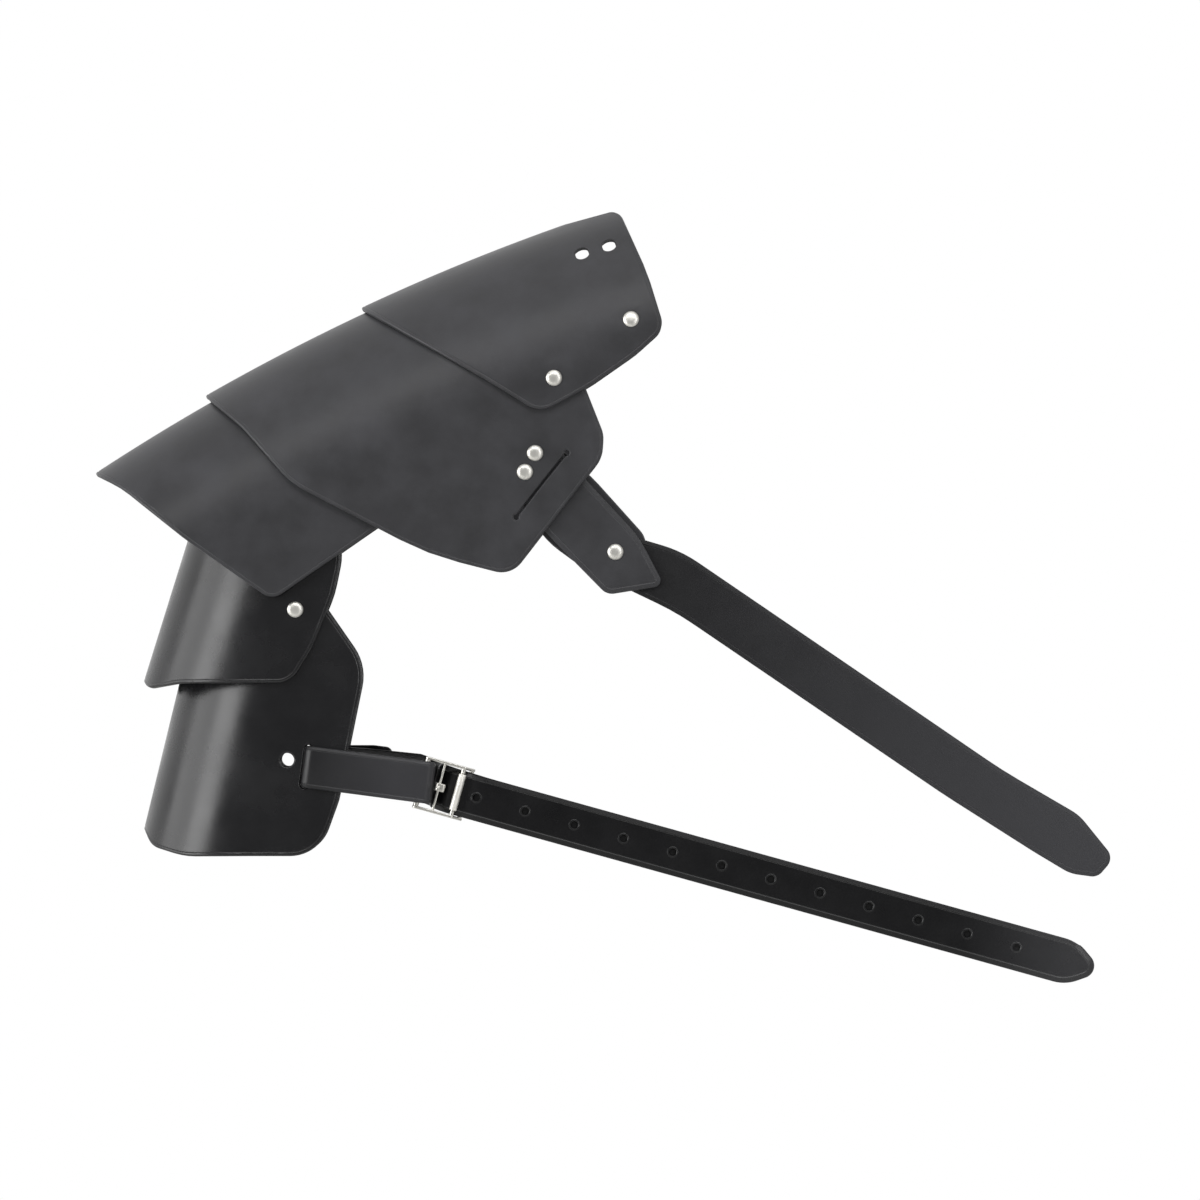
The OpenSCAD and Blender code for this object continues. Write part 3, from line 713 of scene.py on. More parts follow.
@dataclass
class ArchPlate:
    """One arched plate of the guard, cut from one piece of leather and wrapped over its form."""

    name: str
    form: ArchForm
    knees: list[Knee]
    finish: Finish
    body: str
    holes: list[tuple[Point, float]]
    slits: list[tuple[Point, Point, float, bool]] = field(default_factory=list)
    level: list[tuple[Point, float]] = field(default_factory=list)
    rivets: list[Point] = field(default_factory=list)

    def pattern(self) -> list[Point]:
        """Flat pattern: the outline below the crown, unrolled, and its mirror image."""
        seen = dense(rounded(self.knees), OUTLINE_STEP)
        keep = [self.form.flat(p)[1] < self.form.half_w for p in seen]
        start = next(i for i in range(len(seen)) if keep[i] and not keep[i - 1])
        order = seen[start:] + seen[:start]
        run = [p for p in order if self.form.flat(p)[1] < self.form.half_w]
        ends = [self.crown(order[-1], run[0]), self.crown(run[-1], order[len(run)])]
        front = [unroll(self.form, p) for p in run]
        half = [(ends[0], 0.0)] + front + [(ends[1], 0.0)]
        return half + [(s, -w) for s, w in reversed(front)]

    def slant(self, p: Point, side: Side) -> float:
        """Slant of a hole that is level when the plate is worn, along the flat pattern's y."""
        rise = self.form.flat(p)[1] / self.form.half_w
        return -side.value * rise / sqrt(1 - rise ** 2)

    def crown(self, p: Point, q: Point) -> float:
        """Place along the ridge where the outline between two points crosses the crown."""
        (s0, v0), (s1, v1) = self.form.flat(p), self.form.flat(q)
        t = (self.form.half_w - v0) / (v1 - v0)
        return s0 + (s1 - s0) * t

    def build(self) -> None:
        """Cuts, scores, wraps and dresses the plate."""
        outline, flat = self.pattern(), self.form
        holes = [(unroll(flat, p, s), d) for p, d in self.holes for s in Side]
        slits = [(unroll(flat, p, s), unroll(flat, q, s), w)
                 for p, q, w, both in self.slits for s in (Side if both else [Side.FRONT])]
        slants = [(unroll(flat, p, s), d, self.slant(p, s)) for p, d in self.level for s in Side]
        obj = Blank(self.name + "_leather", outline, PLATE_T, PLATE_EDGE, holes, slits,
                    slants).cut()
        wide = max(abs(p[1]) for p in outline)
        left, right = min(p[0] for p in outline), max(p[0] for p in outline)
        score(obj, 1, [0.0] + [k * y for y in spread(0, wide, SCORE_ACROSS) for k in (-1, 1)])
        score(obj, 0, spread(left, right, SCORE_ALONG))
        swell(obj, [unroll(flat, p, s) for p in self.rivets for s in Side], PLATE_T)
        wrap(obj, arch_wrap(self.form))
        finish_piece(obj, self.finish, self.body, [self.name])


# Straps


def plane_wrap(face: float, thickness: float) -> Wrap:
    """Keeps a blank flat, with its top face at depth face in front."""
    return lambda x, z, h: Vector((x, -face + thickness - h, z))


@dataclass
class ChestHarness:
    """Folded connector of two legs, and the long chest strap that turns on its rivet."""

    fall: float = radians(43)
    step_from: float = 18.0
    step_to: float = 36.0
    scored: Point = (100.0, 150.0)
    play: float = 0.1

    def build(self) -> None:
        """Makes the legs and the strap."""
        holes = [(p, POST_D) for p in STRAP_PAIR + [CHEST_RIVET]]
        front = Blank("front_leg", rounded(FRONT_LEG_OUTLINE), LEG_T, LEG_EDGE, holes).cut()
        wrap(front, plane_wrap(SHOULDER_IN, LEG_T))
        finish_piece(front, Finish.PLATE, "shoulder", ["connector_front_leg"])
        back = Blank("back_leg", rounded(BACK_LEG_OUTLINE), LEG_T, Edge(0.9), holes).cut()
        score(back, 0, spread(*self.scored, 2.0))
        wrap(back, self.stepped)
        finish_piece(back, Finish.PLATE, "shoulder", ["connector_back_leg"])
        strap = Blank("long_strap", rounded(CHEST_OUTLINE, 4), CHEST_T, CHEST_EDGE,
                      [(CHEST_RIVET, POST_D + self.play)]).cut()
        wrap(strap, plane_wrap(STRAP_FACE, CHEST_T))
        finish_piece(strap, Finish.CHEST, "chest_strap", ["chest_strap"])

    def stepped(self, x: float, z: float, h: float) -> Vector:
        """Back leg: it lies on the front leg at the rivet pair and steps back past the strap."""
        (x0, z0), (x1, z1) = STRAP_PAIR
        s = (x - (x0 + x1) / 2) * cos(self.fall) - (z - (z0 + z1) / 2) * sin(self.fall)
        near = SHOULDER_IN - LEG_T
        face = near + (BACK_LEG_FACE - near) * part(s, self.step_from, self.step_to)
        return Vector((x, -face + LEG_T - h, z))


@dataclass
class SuspensionStrips:
    """Inner leathers that hang the cap plate and the arm plates from the shoulder plate."""

    # Limits along X between which a strip steps in behind the arm plate, and out to the shoulder
    arm_step: Point = (8.0, 28.0)
    top_step: Point = (66.0, 88.0)

    def build(self) -> None:
        """Makes the front and the rear strip."""
        holes = [(p, POST_D) for p in STRAP_PAIR + [CAP_PIVOT, ARM_PIVOT]]
        steps = [*self.arm_step, *self.top_step]
        steps += spread(*self.arm_step, 4) + spread(*self.top_step, 5)
        for side, node, top in ((Side.FRONT, "front_suspension_strip", STRIP_FACE),
                                (Side.REAR, "rear_suspension_strip", SHOULDER_IN)):
            strip = Blank(node + "_leather", dense(rounded(STRIP_OUTLINE), 6), STRIP_T, Edge(0.5),
                          holes).cut()
            score(strip, 0, steps)
            wrap(strip, self.form(side, top))
            finish_piece(strip, Finish.ARM, "shoulder", [node])

    def form(self, side: Side, top: float) -> Wrap:
        """Depth profile of a strip, which steps in behind the arm plate."""

        def place(x: float, z: float, h: float) -> Vector:
            """Point of the strip, at the depth of its place along X."""
            face = STRIP_FACE + (top - STRIP_FACE) * part(x, *self.top_step)
            face += (STRIP_LOW - STRIP_FACE) * part(x, *self.arm_step[::-1])
            return Vector((x, side.value * (face - STRIP_T + h), z))

        return place


@dataclass
class Track:
    """Line that a belt follows, as plan points (x, y) with a height for each."""

    points: list[Vector]

    def __post_init__(self) -> None:
        """Measures how far along the line each point is."""
        self.ends = [0.0]
        for p, q in zip(self.points, self.points[1:]):
            self.ends.append(self.ends[-1] + (q - p).length)

    @property
    def length(self) -> float:
        """Length along the line."""
        return self.ends[-1]

    def leg(self, i: int) -> Vector:
        """Straight leg of the line by its number, or the nearest one past the line's ends."""
        i = max(0, min(i, len(self.points) - 2))
        return self.points[i + 1] - self.points[i]

    def at(self, s: float) -> tuple[Vector, Vector]:
        """Place and direction at a distance along the line."""
        i = 0
        while i < len(self.ends) - 2 and self.ends[i + 1] < s:
            i += 1
        t = (s - self.ends[i]) / self.leg(i).length
        here = self.points[i].lerp(self.points[i + 1], t)
        way = self.leg(i).normalized()
        if t < 0.5:
            blend = self.leg(i - 1).normalized().lerp(way, 0.5 + t)
        else:
            blend = way.lerp(self.leg(i + 1).normalized(), t - 0.5)
        return here, blend.normalized()


def arc(cx: float, cy: float, r: float, a0: float, a1: float, step: float = 6.0) -> list[Point]:
    """Points on an arc about (cx, cy) between two angles, no more than step apart, in degrees."""
    n = max(1, ceil(abs(a1 - a0) / step))
    return [(cx + r * cos(radians(a0 + (a1 - a0) * i / n)),
             cy + r * sin(radians(a0 + (a1 - a0) * i / n))) for i in range(n + 1)]


def track_wrap(track: Track, tilt: Callable[[float], float], thickness: float) -> Wrap:
    """Wraps a straight blank along a track.

    Args:
        track: the blank's middle line.
        tilt: how far the blank's width leans from upright at a distance along it.
        thickness: the blank's thickness.

    Returns:
        The form. The blank's top face looks to the viewer where the track runs right.
    """

    def place(s: float, w: float, h: float) -> Vector:
        """Point across and out of the track at a distance along it."""
        here, along = track.at(s)
        across = Vector((sin(tilt(s)), 0, cos(tilt(s))))
        out = along.cross(across).normalized()
        return here + across * w + out * (h - thickness / 2)

    return place


@dataclass
class ArmBelt:
    """Arm belt from the back slot round under the arm, through the buckle to its tail."""

    bend_r: float = 12.0
    pitch: float = 27.8
    holes: int = 12
    first_hole: float = 10.6
    hole_d: float = 4.0
    pit: float = 2.1  # depth of a hole from the front
    tail: float = 363.4  # from the roller to the tip
    tip_l: float = 16.0
    lap_end: float = 42.0  # from the fold, as are the two next
    lap_from: float = 23.5
    lap_to: float = 31.5
    root_half: float = 11.4
    slim_for: float = 12.0  # the root widens from here to grown_at
    grown_at: float = 40.0
    level_to: float = 15.0  # X up to which the belt is level
    band: float = 1.5  # strip along the tail's upper edge that slopes back
    top_slope: float = 1.7
    slope_to: float = 20.0
    lift: float = 2.2  # what the tail comes forward past the roller
    lift_from: float = 4.0
    lift_to: float = 17.0
    chape_slack: float = 1.4

    def __post_init__(self) -> None:
        """Places the fold behind the slot."""
        fold = (CHAPE_R + BELT_T + sqrt(CHAPE_R ** 2 - PLATE_T ** 2 / 4)) / 2
        self.fold_at = (SLOT_AT[0] + fold * cos(SLOT_TILT), SLOT_AT[1] - fold * sin(SLOT_TILT))

    def along_slot(self, p: Point) -> float:
        """Distance of a point from the fold, along the way that the slot's strap leaves it."""
        x, z = self.fold_at
        return (p[0] - x) * cos(SLOT_TILT) - (p[1] - z) * sin(SLOT_TILT)

    def plan(self) -> list[Point]:
        """Plan of the belt's middle line up to the roller, measured from the fold."""
        root_y, r = CHAPE_BACK - BELT_T / 2, self.bend_r
        tail_y = -(BAR_Y - ROLLER_R - TURN_GAP - BELT_T / 2)
        run = self.along_slot(ROLLER_AT)
        pts = [(self.lap_end, CHAPE_BACK + BELT_T / 2), (self.lap_to, CHAPE_BACK + BELT_T / 2),
               (self.lap_from, CHAPE_FRONT + BELT_T / 2)]
        pts += arc(0, BAR_Y, CHAPE_R + BELT_T / 2, 90, 270, 12)
        pts += arc(run - 2 * r, root_y - r, r, 90, 0)
        pts += arc(run, tail_y + r, r, 180, 270)
        return pts

    def track(self) -> Track:
        """Middle line with its height, which falls with the buckle from the roller on."""
        out = []
        for u, y in self.plan():
            x = self.fold_at[0] + u * cos(SLOT_TILT)
            z = self.height(x)
            x += (z - self.fold_at[1] + u * sin(SLOT_TILT)) * tan(SLOT_TILT)
            out.append(Vector((x, y, z)))
        out.append(out[-1] + Vector((cos(BELT_FALL), 0, -sin(BELT_FALL))) * self.tail)
        return Track(out)

    def height(self, x: float) -> float:
        """Height of the middle line: level at the root, then easing into the buckle's fall."""
        span = ROLLER_AT[0] - self.level_to
        t = (x - self.level_to) / span
        if t <= 0:
            return SLOT_AT[1]
        drop = (ROLLER_AT[1] - SLOT_AT[1]) * (3 * t ** 2 - 2 * t ** 3)
        return SLOT_AT[1] + drop - span * (t ** 3 - t ** 2) * tan(BELT_FALL)

    def build(self) -> None:
        """Cuts the belt, punches it, wraps it and dresses it."""
        track = self.track()
        roller = track.ends[-2]
        half, end, low = BELT_W / 2, track.length, self.root_half
        # The fold's arc begins after the lap's three points
        start = track.ends[3]
        slim, grown, tip = start + self.slim_for, start + self.grown_at, end - self.tip_l
        lower: list[Knee] = [(0, -low, 4), (slim, -low, 60), (grown, -half, 60), (tip, -half, 22)]
        upper: list[Knee] = [(x, -w, r) for x, w, r in reversed(lower)]
        belt = Blank("arm_belt_leather", rounded([*lower, (end + 2, 0, 7), *upper], 5), BELT_T,
                     BELT_EDGE).cut()
        for i in range(self.holes):
            self.punch(belt, (roller + self.first_hole + i * self.pitch, 0.0))
        lift = (self.lift_from, self.lift_to)
        bend = [roller + lift[0] + x for x in spread(0, lift[1] - lift[0], 0.8)]
        score(belt, 0, track.ends[1:-1] + bend + spread(roller, end, 12.0))

        def tilt(s: float) -> float:
            """Lean of the belt's width, from the slot's to the buckle's."""
            share = ease(track.at(s)[0].x, self.level_to, ROLLER_AT[0])
            return SLOT_TILT + (BELT_FALL - SLOT_TILT) * share

        follow = track_wrap(track, tilt, BELT_T)

        def place(s: float, w: float, h: float) -> Vector:
            """Point of the belt, with the tail's sloped edge and its step forward."""
            rise = 1 - (1 - part(s - roller, *lift)) ** 2
            slope = 0.0
            if w > half - self.band:
                slope = self.top_slope * min(h / (BELT_T - BELT_EDGE.skive), 1)
            w -= slope * ease(s - roller, 0, self.slope_to)
            return follow(s, w, h) + Vector((0, -self.lift * rise, 0))

        wrap(belt, place)
        finish_piece(belt, Finish.STRAP, "lower_arm", ["arm_belt"])
        self.chape()

    def punch(self, belt: Obj, at: Point) -> None:
        """Sinks a hole from both faces, with its rim raised by the punch.

        The photograph shows these holes black inside, so a thin web of leather stays in them.

        Args:
            belt: the flat belt.
            at: the hole's centre.
        """
        r = self.hole_d / 2
        low, top = BELT_T - self.pit, BELT_T + 2
        front = [(0.0, low), (r - 0.25, low), (r, low + 0.3), (r, BELT_T - 0.1),
                 (r + 0.4, BELT_T + 0.22), (r + 0.4, top), (0.0, top)]
        back = [(0.0, -2.0), (r, -2.0), (r, 0.35), (0.0, 0.35)]
        rim = [(r - 0.2, BELT_T - 0.6), (r - 0.2, BELT_T), (r + 0.35, BELT_T + 0.26),
               (r + 0.9, BELT_T + 0.18), (r + 1.35, BELT_T - 0.1), (r + 1.3, BELT_T - 0.6)]
        for operation, profile in (("UNION", rim + rim[:1]), ("DIFFERENCE", front),
                                   ("DIFFERENCE", back)):
            tool = spun("tool", profile, 28)
            shift(tool, (at[0], at[1], 0))
            carve(belt, tool, operation)

    def chape(self) -> None:
        """Closed band through the front slot and round the chape bar."""
        bar = (ROLLER_AT[0] + CHAPE_BAR_X * cos(BELT_FALL),
               ROLLER_AT[1] - CHAPE_BAR_X * sin(BELT_FALL))
        run = self.along_slot(bar) + self.chape_slack
        r, half, (x0, z0) = CHAPE_R + BELT_T / 2, CHAPE_W / 2, self.fold_at
        loop = [(run / 2, r)] + arc(0, 0, r, 90, 270, 10) + arc(run, 0, r, -90, 90, 10)
        track = Track([Vector((x0 + u * cos(SLOT_TILT), -BAR_Y + v, z0 - u * sin(SLOT_TILT)))
                       for u, v in loop + loop[:1]])
        end = track.length
        band = Blank("chape_leather", rounded([(0, -half, 0), (end, -half, 0), (end, half, 0),
                                               (0, half, 0)]), BELT_T, CHAPE_EDGE).cut()
        score(band, 0, track.ends[1:-1] + spread(0, end, 6.0))
        wrap(band, track_wrap(track, lambda s: SLOT_TILT, BELT_T))
        finish_piece(band, Finish.CHAPE, "lower_arm", ["buckle_chape"])


# Metal


def spun(name: str, profile: list[Point], steps: int = 40) -> Obj:
    """Turned piece: a profile of (radius, height) spun about Z, in millimetres."""
    closed = profile[:-1] if profile[0] == profile[-1] else profile
    obj = ring(name, [(r, 0.0, h) for r, h in closed], "NOTHING")
    edit("VERT")
    bpy.ops.mesh.spin(steps=steps, angle=tau, center=(0, 0, 0), axis=(0, 0, 1), dupli=False)
    bpy.ops.mesh.select_all(action="SELECT")
    bpy.ops.mesh.remove_doubles(threshold=SPUN_WELD)
    close_mesh()
    return obj


def stand(obj: Obj, at: Vector, out: Vector) -> None:
    """Moves a turned piece, in millimetres, so that its z axis points out at a place, in metres."""
    turn = Vector((0, 0, 1)).rotation_difference(out).to_matrix()
    for v in obj.data.vertices:
        v.co = (turn @ v.co + at) * MM


@dataclass(frozen=True)
class Seat:
    """Where a rivet sits: the outer face of its leather and the way out of it."""

    at: Vector
    out: Vector

    @staticmethod
    def flat(p: Point, face: float, side: Side) -> "Seat":
        """Seat on a flap that stands square to the view."""
        return Seat(Vector((p[0], side.value * face, p[1])), Vector((0, side.value, 0)))

    @staticmethod
    def arch(form: ArchForm, p: Point, side: Side) -> "Seat":
        """Seat on the curved part of an arch."""
        s, v = form.flat(p)
        a = asin(v / form.half_w)
        foot = form.world(s, 0, 0)
        up = (form.world(s, 1, 0) - foot).normalized()
        out = up * sin(a) + Vector((0, side.value, 0)) * cos(a)
        return Seat(foot + out * form.half_w, out)


@dataclass
class Rivets:
    """Double-cap rivets: a domed cap with a post, and a lower closing cap inside."""

    def cap(self, seat: Seat, length: float) -> Obj:
        """Cap and post, with a rolled rim and a slightly flattened crown."""
        r, h = CAP_D / 2, CAP_H
        profile = [(0.0, h), (r * 0.15, h * 0.995), (r * 0.3, h * 0.972), (r * 0.45, h * 0.925),
                   (r * 0.6, h * 0.85), (r * 0.73, h * 0.74), (r * 0.85, h * 0.57),
                   (r * 0.95, h * 0.34), (r, h * 0.16), (r * 0.985, 0.05), (r * 0.94, 0.0),
                   (POST_D / 2, 0.0), (POST_D / 2, -length), (0.0, -length)]
        obj = spun("cap", profile)
        stand(obj, seat.at, seat.out)
        return obj

    def back(self, seat: Seat, depth: float) -> Obj:
        """Closing cap on the inner face."""
        r, h = BACK_D / 2, BACK_H
        profile = [(0.0, -h), (r * 0.4, -h * 0.95), (r * 0.7, -h * 0.76), (r * 0.92, -h * 0.4),
                   (r, -h * 0.12), (r * 0.97, 0.0), (POST_D / 2, 0.0), (POST_D / 2, -POST_STUB),
                   (0.0, -POST_STUB)]
        obj = spun("back", profile)
        stand(obj, seat.at - seat.out * depth, seat.out)
        return obj

    def flat_head(self, seat: Seat, length: float) -> Obj:
        """Low rivet that hides between two plates."""
        r, h = 4.5, 0.9
        profile = [(0.0, h), (r - 0.35, h), (r, h - 0.35), (r, 0.15), (r - 0.15, 0.0),
                   (POST_D / 2, 0.0), (POST_D / 2, -length), (0.0, -length)]
        obj = spun("head", profile)
        stand(obj, seat.at, seat.out)
        return obj

    def group(self, node: str, body: str, parts: list[Obj]) -> None:
        """Joins the rivets of one node."""
        finish_piece(join(parts, node + "_nickel"), Finish.RIVET, body, [node])

    def riveted(self, stem: str, body: str, seats: list[tuple[Seat, float]],
                head: Callable[[Seat, float], Obj]) -> None:
        """Caps outside and closing caps inside.

        Args:
            stem: beginning of both CAD nodes' names.
            body: the CAD body that both ride on.
            seats: each rivet's seat, with the depth from there to the inner face.
            head: maker of the caps.
        """
        caps, backs = ("_rivets", "_backs") if len(seats) > 1 else ("_rivet", "_rivet_back")
        self.group(stem + caps, body, [head(s, d + POST_STUB) for s, d in seats])
        self.group(stem + backs, body, [self.back(s, d) for s, d in seats])

    def through(self, p: Point, top: float, inner: float) -> list[tuple[Seat, float]]:
        """Seats of a rivet on both flaps, between an outer and an inner face."""
        return [(Seat.flat(p, top, s), top - inner) for s in Side]

    def build(self) -> None:
        """Makes every rivet."""
        neck, corner = NECK_HALF + TURN_GAP, PLATE_T + 0.15
        ends = {Side.FRONT: STRIP_FACE - STRIP_T, Side.REAR: SHOULDER_IN - STRIP_T}
        chest = Seat.flat(CHEST_RIVET, SHOULDER_IN, Side.FRONT)
        root = Seat.flat(ROOT_RIVET, CHAPE_BACK + BELT_T, Side.REAR)
        for stem, body, seats, head in (
                ("neck_corner", "neck",
                 [(Seat.arch(NECK_FORM, NECK_CORNER, s), corner) for s in Side], self.cap),
                ("neck_pivot", "shoulder", self.through(NECK_PIVOT, neck, SHOULDER_IN), self.cap),
                ("strap_pair", "shoulder",
                 [(Seat.flat(p, SHOULDER_HALF, s), SHOULDER_HALF - ends[s])
                  for p in STRAP_PAIR for s in Side], self.cap),
                ("cap_pivot", "shoulder",
                 self.through(CAP_PIVOT, CAP_HALF + TURN_GAP, STRIP_FACE - STRIP_T),
                 self.flat_head),
                ("arm_pivot", "shoulder",
                 self.through(ARM_PIVOT, UPPER_HALF + TURN_GAP, STRIP_LOW - STRIP_T),
                 self.flat_head),
                ("elbow_pivot", "upper_arm",
                 self.through(ELBOW_PIVOT, UPPER_HALF, self.elbow_face()), self.cap),
                ("chest_strap", "shoulder",
                 [(chest, SHOULDER_IN - BACK_LEG_FACE + LEG_T)], self.cap),
                ("belt_root", "lower_arm", [(root, 2 * BELT_T)], self.cap)):
            self.riveted(stem, body, seats, head)

    @staticmethod
    def elbow_face() -> float:
        """Depth of the inner face of the lower plate under the elbow rivet's closing cap."""
        _, v = LOWER_FORM.flat(ELBOW_PIVOT)
        inner = LOWER_HALF - PLATE_T
        return sqrt(inner ** 2 - max(0.0, v + BACK_D / 2) ** 2) - TURN_GAP


@dataclass
class RollerBuckle:
    """Roller buckle with a chape bar, a prong bar, a roller and a keeper bar behind the belt."""

    rail_t: float = 1.6
    rail_h: float = 3.2
    side_gap: float = 0.5
    boss_l: float = 2.5
    pin_d: float = 2.2
    bar_d: float = 1.5
    chape_bar_d: float = 3.0
    keeper: Point = (4.5, 6.9)
    keeper_d: float = 2.4
    prong_l: float = 13.6
    prong_r: float = 1.2
    curl_w: float = 4.4
    curl_reach: float = 3.4

    @property
    def inside(self) -> float:
        """Half of the clear width between the rails."""
        return BELT_W / 2 + self.side_gap

    def place(self, obj: Obj, to: Point = (0.0, 0.0)) -> None:
        """Turns a piece drawn in the buckle's frame and moves it there, in metres."""
        turn = Matrix.Rotation(BELT_FALL, 3, "Y")
        at = Vector((ROLLER_AT[0], -BAR_Y, ROLLER_AT[1]))
        for v in obj.data.vertices:
            v.co = (turn @ (v.co + Vector((*to, 0))) + at) * MM

    def rod(self, at: Point, d: float, length: float) -> Obj:
        """Round bar across the buckle with softened ends."""
        r, h, soft = d / 2, length / 2, 0.25
        profile = [(0, h), (r - soft, h), (r, h - soft), (r, soft - h), (r - soft, -h), (0, -h)]
        obj = spun("rod", profile, 32)
        self.place(obj, at)
        return obj

    def rail(self, sign: int) -> Obj:
        """Rail along one edge of the belt, bent back to the keeper bar."""
        left, r = CHAPE_BAR_X - self.rail_h / 2, self.rail_h / 2
        (kx, ky), u = self.keeper, unit(self.keeper)
        n = (-u[1], u[0])
        m = r * tan(atan2(ky, kx) / 2)
        low = (kx + r * (u[0] - n[0]), ky + r * (u[1] - n[1]), r)
        high = (kx + r * (u[0] + n[0]), ky + r * (u[1] + n[1]), r)
        knees: list[Knee] = [(left, -r, r), (m, -r, r), low, high, (-m, r, r), (left, r, r)]
        obj = Blank("rail", rounded(knees), self.rail_t, Edge(0.45)).cut()
        shift(obj, (0, 0, self.inside if sign > 0 else -self.inside - self.rail_t))
        self.place(obj)
        return obj

    def build(self) -> None:
        """Makes the frame, the roller and the prong."""
        wide = 2 * self.inside + self.rail_t
        parts = [self.rail(-1), self.rail(1), self.rod((CHAPE_BAR_X, 0), self.chape_bar_d, wide),
                 self.rod((-ROLLER_REACH, 0), self.bar_d, wide), self.rod((0, 0), self.pin_d, wide),
                 self.rod(self.keeper, self.keeper_d, wide)]
        across = Vector((sin(BELT_FALL), 0, cos(BELT_FALL)))
        for sign in (-1, 1):
            boss = self.rod((0, 0), self.rail_h - 0.6, self.boss_l + self.rail_t / 2)
            shift(boss, across * sign * (self.inside + self.rail_t / 4 - self.boss_l / 2) * MM)
            parts.append(boss)
        finish_piece(join(parts, "buckle_frame_nickel"), Finish.BUCKLE, "lower_arm",
                     ["buckle_frame"])
        self.roller()
        self.prong()

    def roller(self) -> None:
        """Sheet metal roller with turned-in ends."""
        h, r = self.inside - self.boss_l - TURN_GAP, ROLLER_R
        bore = self.pin_d / 2 + PIVOT_PLAY / 2
        half = [(bore, h - 0.4), (bore + 0.25, h - 0.05), (r - 0.35, h), (r - 0.08, h - 0.2),
                (r, h - 0.5)]
        profile = half + [(x, -z) for x, z in reversed(half)] + [half[0]]
        obj = spun("roller_nickel", profile, 40)
        self.place(obj)
        finish_piece(obj, Finish.ROLLER, "roller", ["buckle_roller"])

    def prong(self) -> None:
        """Prong: wire curled round its bar, tapering slightly to a rounded tip."""
        outer, wide, reach = self.pin_d / 2 + 1.26, self.curl_w, self.curl_reach
        knees: list[Knee] = [(-outer, -outer, outer), (reach, -outer, 1.4), (reach, outer, 1.4),
                             (-outer, outer, outer)]
        curl = Blank("curl", rounded(knees), wide, Edge(0.4),
                     [((0.0, 0.0), self.bar_d + PIVOT_PLAY)]).cut()
        shift(curl, (0, 0, -wide / 2))
        tip, r = self.prong_l, self.prong_r
        shaft = spun("shaft", [(0, tip), (r * 0.45, tip - 0.15), (r * 0.75, tip - 0.5),
                               (r * 0.9, tip - 1.1), (r, tip - 4), (r, 1.6), (0, 1.6)], 28)
        for v in shaft.data.vertices:
            v.co = Vector((v.co.x, -v.co.z, v.co.y))
        for wire in (curl, shaft):
            self.place(wire, (-ROLLER_REACH, 0))
        finish_piece(join([curl, shaft], "prong_nickel"), Finish.BUCKLE, "prong", ["buckle_prong"])


@dataclass
class GuardPlates:
    """The five overlapping plates of the guard."""

    def build(self) -> None:
        """Makes the plates from the neck down to the arm."""
        fit = POST_D + PIVOT_PLAY
        ArchPlate("neck_plate", NECK_FORM, NECK_OUTLINE, Finish.PLATE, "neck",
                  [(NECK_PIVOT, fit), (NECK_CORNER, POST_D)],
                  level=[(p, LACE_D) for p in LACE_HOLES], rivets=[NECK_PIVOT, NECK_CORNER]).build()
        slit = [(*SLIT, SLIT_W, False)] + [(p, p, SLIT_END_D, False) for p in SLIT]
        ArchPlate("shoulder_plate", RidgeForm(SHOULDER_HALF), SHOULDER_OUTLINE, Finish.PLATE,
                  "shoulder", [(p, POST_D) for p in STRAP_PAIR + [NECK_PIVOT]], slit,
                  rivets=STRAP_PAIR).build()
        ArchPlate("cap_plate", RidgeForm(CAP_HALF), CAP_OUTLINE, Finish.PLATE, "cap",
                  [(CAP_PIVOT, fit)]).build()
        ArchPlate("upper_arm_plate", UPPER_FORM, UPPER_OUTLINE, Finish.ARM, "upper_arm",
                  [(ARM_PIVOT, fit), (ELBOW_PIVOT, POST_D)], rivets=[ELBOW_PIVOT]).build()
        half = BELT_W / 2 - SLOT_SHORT - SLOT_W / 2
        (x, z), dx, dz = SLOT_AT, sin(SLOT_TILT) * half, cos(SLOT_TILT) * half
        ArchPlate("lower_arm_plate", LOWER_FORM, LOWER_OUTLINE, Finish.ARM, "lower_arm",
                  [(ELBOW_PIVOT, fit), (ARM_HOLE, ARM_HOLE_D)],
                  [((x - dx, z - dz), (x + dx, z + dz), SLOT_W, True)]).build()


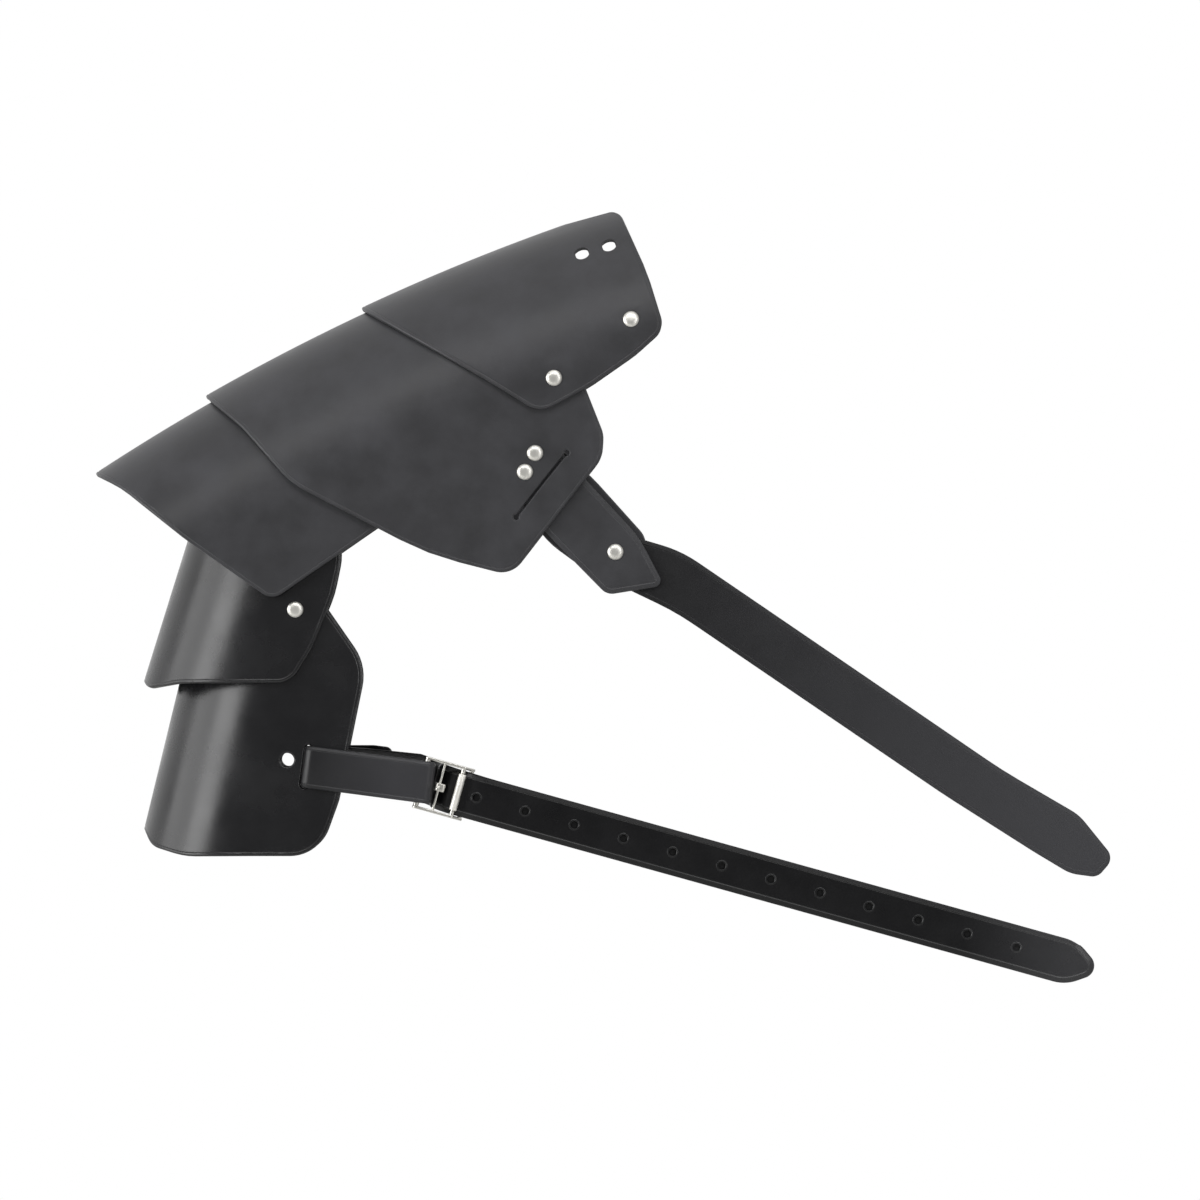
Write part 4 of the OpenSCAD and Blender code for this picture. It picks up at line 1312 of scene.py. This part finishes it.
@dataclass
class Studio:
    """Pale floor, white background, soft lamps and the camera of the photograph."""

    mm_per_px: float = 0.545
    origin_px: Point = (340.0, 460.0)
    frame_px: int = 1200
    distance: float = 20.0
    floor_z: float = -0.75

    def build(self) -> None:
        """Makes the camera, the lamps, the surroundings and the floor."""
        scene = bpy.context.scene
        scene.view_settings.view_transform = "Standard"
        self.camera(scene)
        self.surroundings(scene)
        self.lamp("left_window", (-2.12, -0.4, 0.2), (0.0, 0.0, -0.05), (2.2, 1.6), 25.0)
        self.lamp("left_strip", (-1.82, -1.02, 0.1), (0.0, 0.0, -0.05), (0.9, 1.6), 15.0)
        self.lamp("top_softbox", (0.1, -0.5, 2.0), (0.1, 0.0, 0.0), (2.2, 1.2), 5.0)
        self.lamp("front_top_bank", (0.1, -1.7, 1.5), (0.15, 0.0, -0.05), (2.6, 0.7), 21.0)
        self.lamp("right_fill", (1.35, -1.6, 0.3), (0.1, 0.0, -0.1), (0.5, 1.4), 8.0)
        self.floor()

    def camera(self, scene: bpy.types.Scene) -> None:
        """Long lens, level with the guard, square to its front flaps."""
        half = self.frame_px / 2
        x = (half - self.origin_px[0]) * self.mm_per_px * MM
        z = (self.origin_px[1] - half) * self.mm_per_px * MM
        data = bpy.data.cameras.new("camera")
        near = SHOULDER_HALF * MM
        data.lens = data.sensor_width * self.distance / (self.frame_px * self.mm_per_px * MM)
        data.clip_end = 50
        cam = bpy.data.objects.new("camera", data)
        cam.location = (x, -near - self.distance, z)
        cam.rotation_euler = (pi / 2, 0, 0)
        bpy.context.collection.objects.link(cam)
        scene.camera = cam

    def surroundings(self, scene: bpy.types.Scene) -> None:
        """World that is white to the camera, graded in reflections and dim as a light.

        Args:
            scene: the scene that gets it.
        """
        world = bpy.data.worlds.new("studio")
        scene.world = world
        tree = bare_tree(world)
        path = add_node(tree, "LightPath").outputs
        seen = add_node(tree, "Math", {
            0: path["Is Camera Ray"], 1: path["Is Transmission Ray"]}, operation="MAXIMUM")
        way = add_node(tree, "SeparateXYZ", {0: add_node(tree, "TexCoord").outputs["Generated"]})
        # In reflections the room is dim on the viewer's side and pale grey behind the guard
        room = remap(tree, way.outputs["Y"], (-1.0, 0.3), (0.26, 0.84),
                     interpolation_type="SMOOTHSTEP")
        level = add_node(tree, "Mix", {0: path["Is Glossy Ray"], 2: 0.24, 3: room},
                         data_type="FLOAT")
        white = linear("#ffffff")
        soft = add_node(tree, "Background", {"Color": white, "Strength": level.outputs[0]})
        plain = add_node(tree, "Background", {"Color": white, "Strength": 1.0})
        both = add_node(tree, "MixShader", {
            0: seen.outputs[0], 1: soft.outputs[0], 2: plain.outputs[0]})
        add_node(tree, "OutputWorld", {"Surface": both.outputs[0]})

    def lamp(self, name: str, at: Knee, to: Knee, size: Point, power: float) -> None:
        """Softbox that looks at a point and stays out of the picture.

        Args:
            name: its name.
            at: its place, in metres.
            to: the point that it looks at.
            size: its width and height, in metres.
            power: its power, in watts.
        """
        data = bpy.data.lights.new(name, "AREA")
        data.shape = "RECTANGLE"
        data.size, data.size_y = size
        data.energy = power
        lamp = bpy.data.objects.new(name, data)
        lamp.visible_camera = False
        lamp.location = at
        lamp.rotation_euler = (Vector(to) - Vector(at)).to_track_quat("-Z", "Y").to_euler()
        bpy.context.collection.objects.link(lamp)

    def floor(self) -> None:
        """Plain pale floor, white to the camera, well below the guard."""
        bpy.ops.object.select_all(action="DESELECT")
        bpy.ops.mesh.primitive_grid_add(x_subdivisions=2, y_subdivisions=2, size=8,
                                        location=(0, 0, self.floor_z))
        floor = bpy.context.view_layer.objects.active
        floor.name = "floor"
        mat, tree = new_material("pale_floor")
        path = add_node(tree, "LightPath")
        matt = add_node(tree, "BsdfDiffuse", {"Color": linear("#f4f4f2")})
        white = add_node(tree, "Emission", {"Color": linear("#ffffff"), "Strength": 1.0})
        both = add_node(tree, "MixShader", {
            0: path.outputs["Is Camera Ray"], 1: matt.outputs[0], 2: white.outputs[0]})
        add_node(tree, "OutputMaterial", {"Surface": both.outputs[0]})
        floor.data.materials.append(mat)


def main() -> None:
    """Builds every sub-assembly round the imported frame, then the studio."""
    logging.basicConfig(level=logging.INFO, format="%(name)s %(message)s")
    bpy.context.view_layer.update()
    for finish in Finish:
        MATERIALS[finish] = finish.value.build()
    GuardPlates().build()
    SuspensionStrips().build()
    ChestHarness().build()
    ArmBelt().build()
    Rivets().build()
    RollerBuckle().build()
    Studio().build()


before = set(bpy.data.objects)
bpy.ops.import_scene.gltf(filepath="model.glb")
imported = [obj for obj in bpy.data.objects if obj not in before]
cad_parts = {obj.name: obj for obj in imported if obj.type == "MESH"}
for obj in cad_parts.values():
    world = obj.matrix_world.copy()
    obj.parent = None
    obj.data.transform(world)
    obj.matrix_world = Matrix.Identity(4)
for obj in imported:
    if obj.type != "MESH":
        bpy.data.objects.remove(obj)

if __name__ == "__main__":
    main()
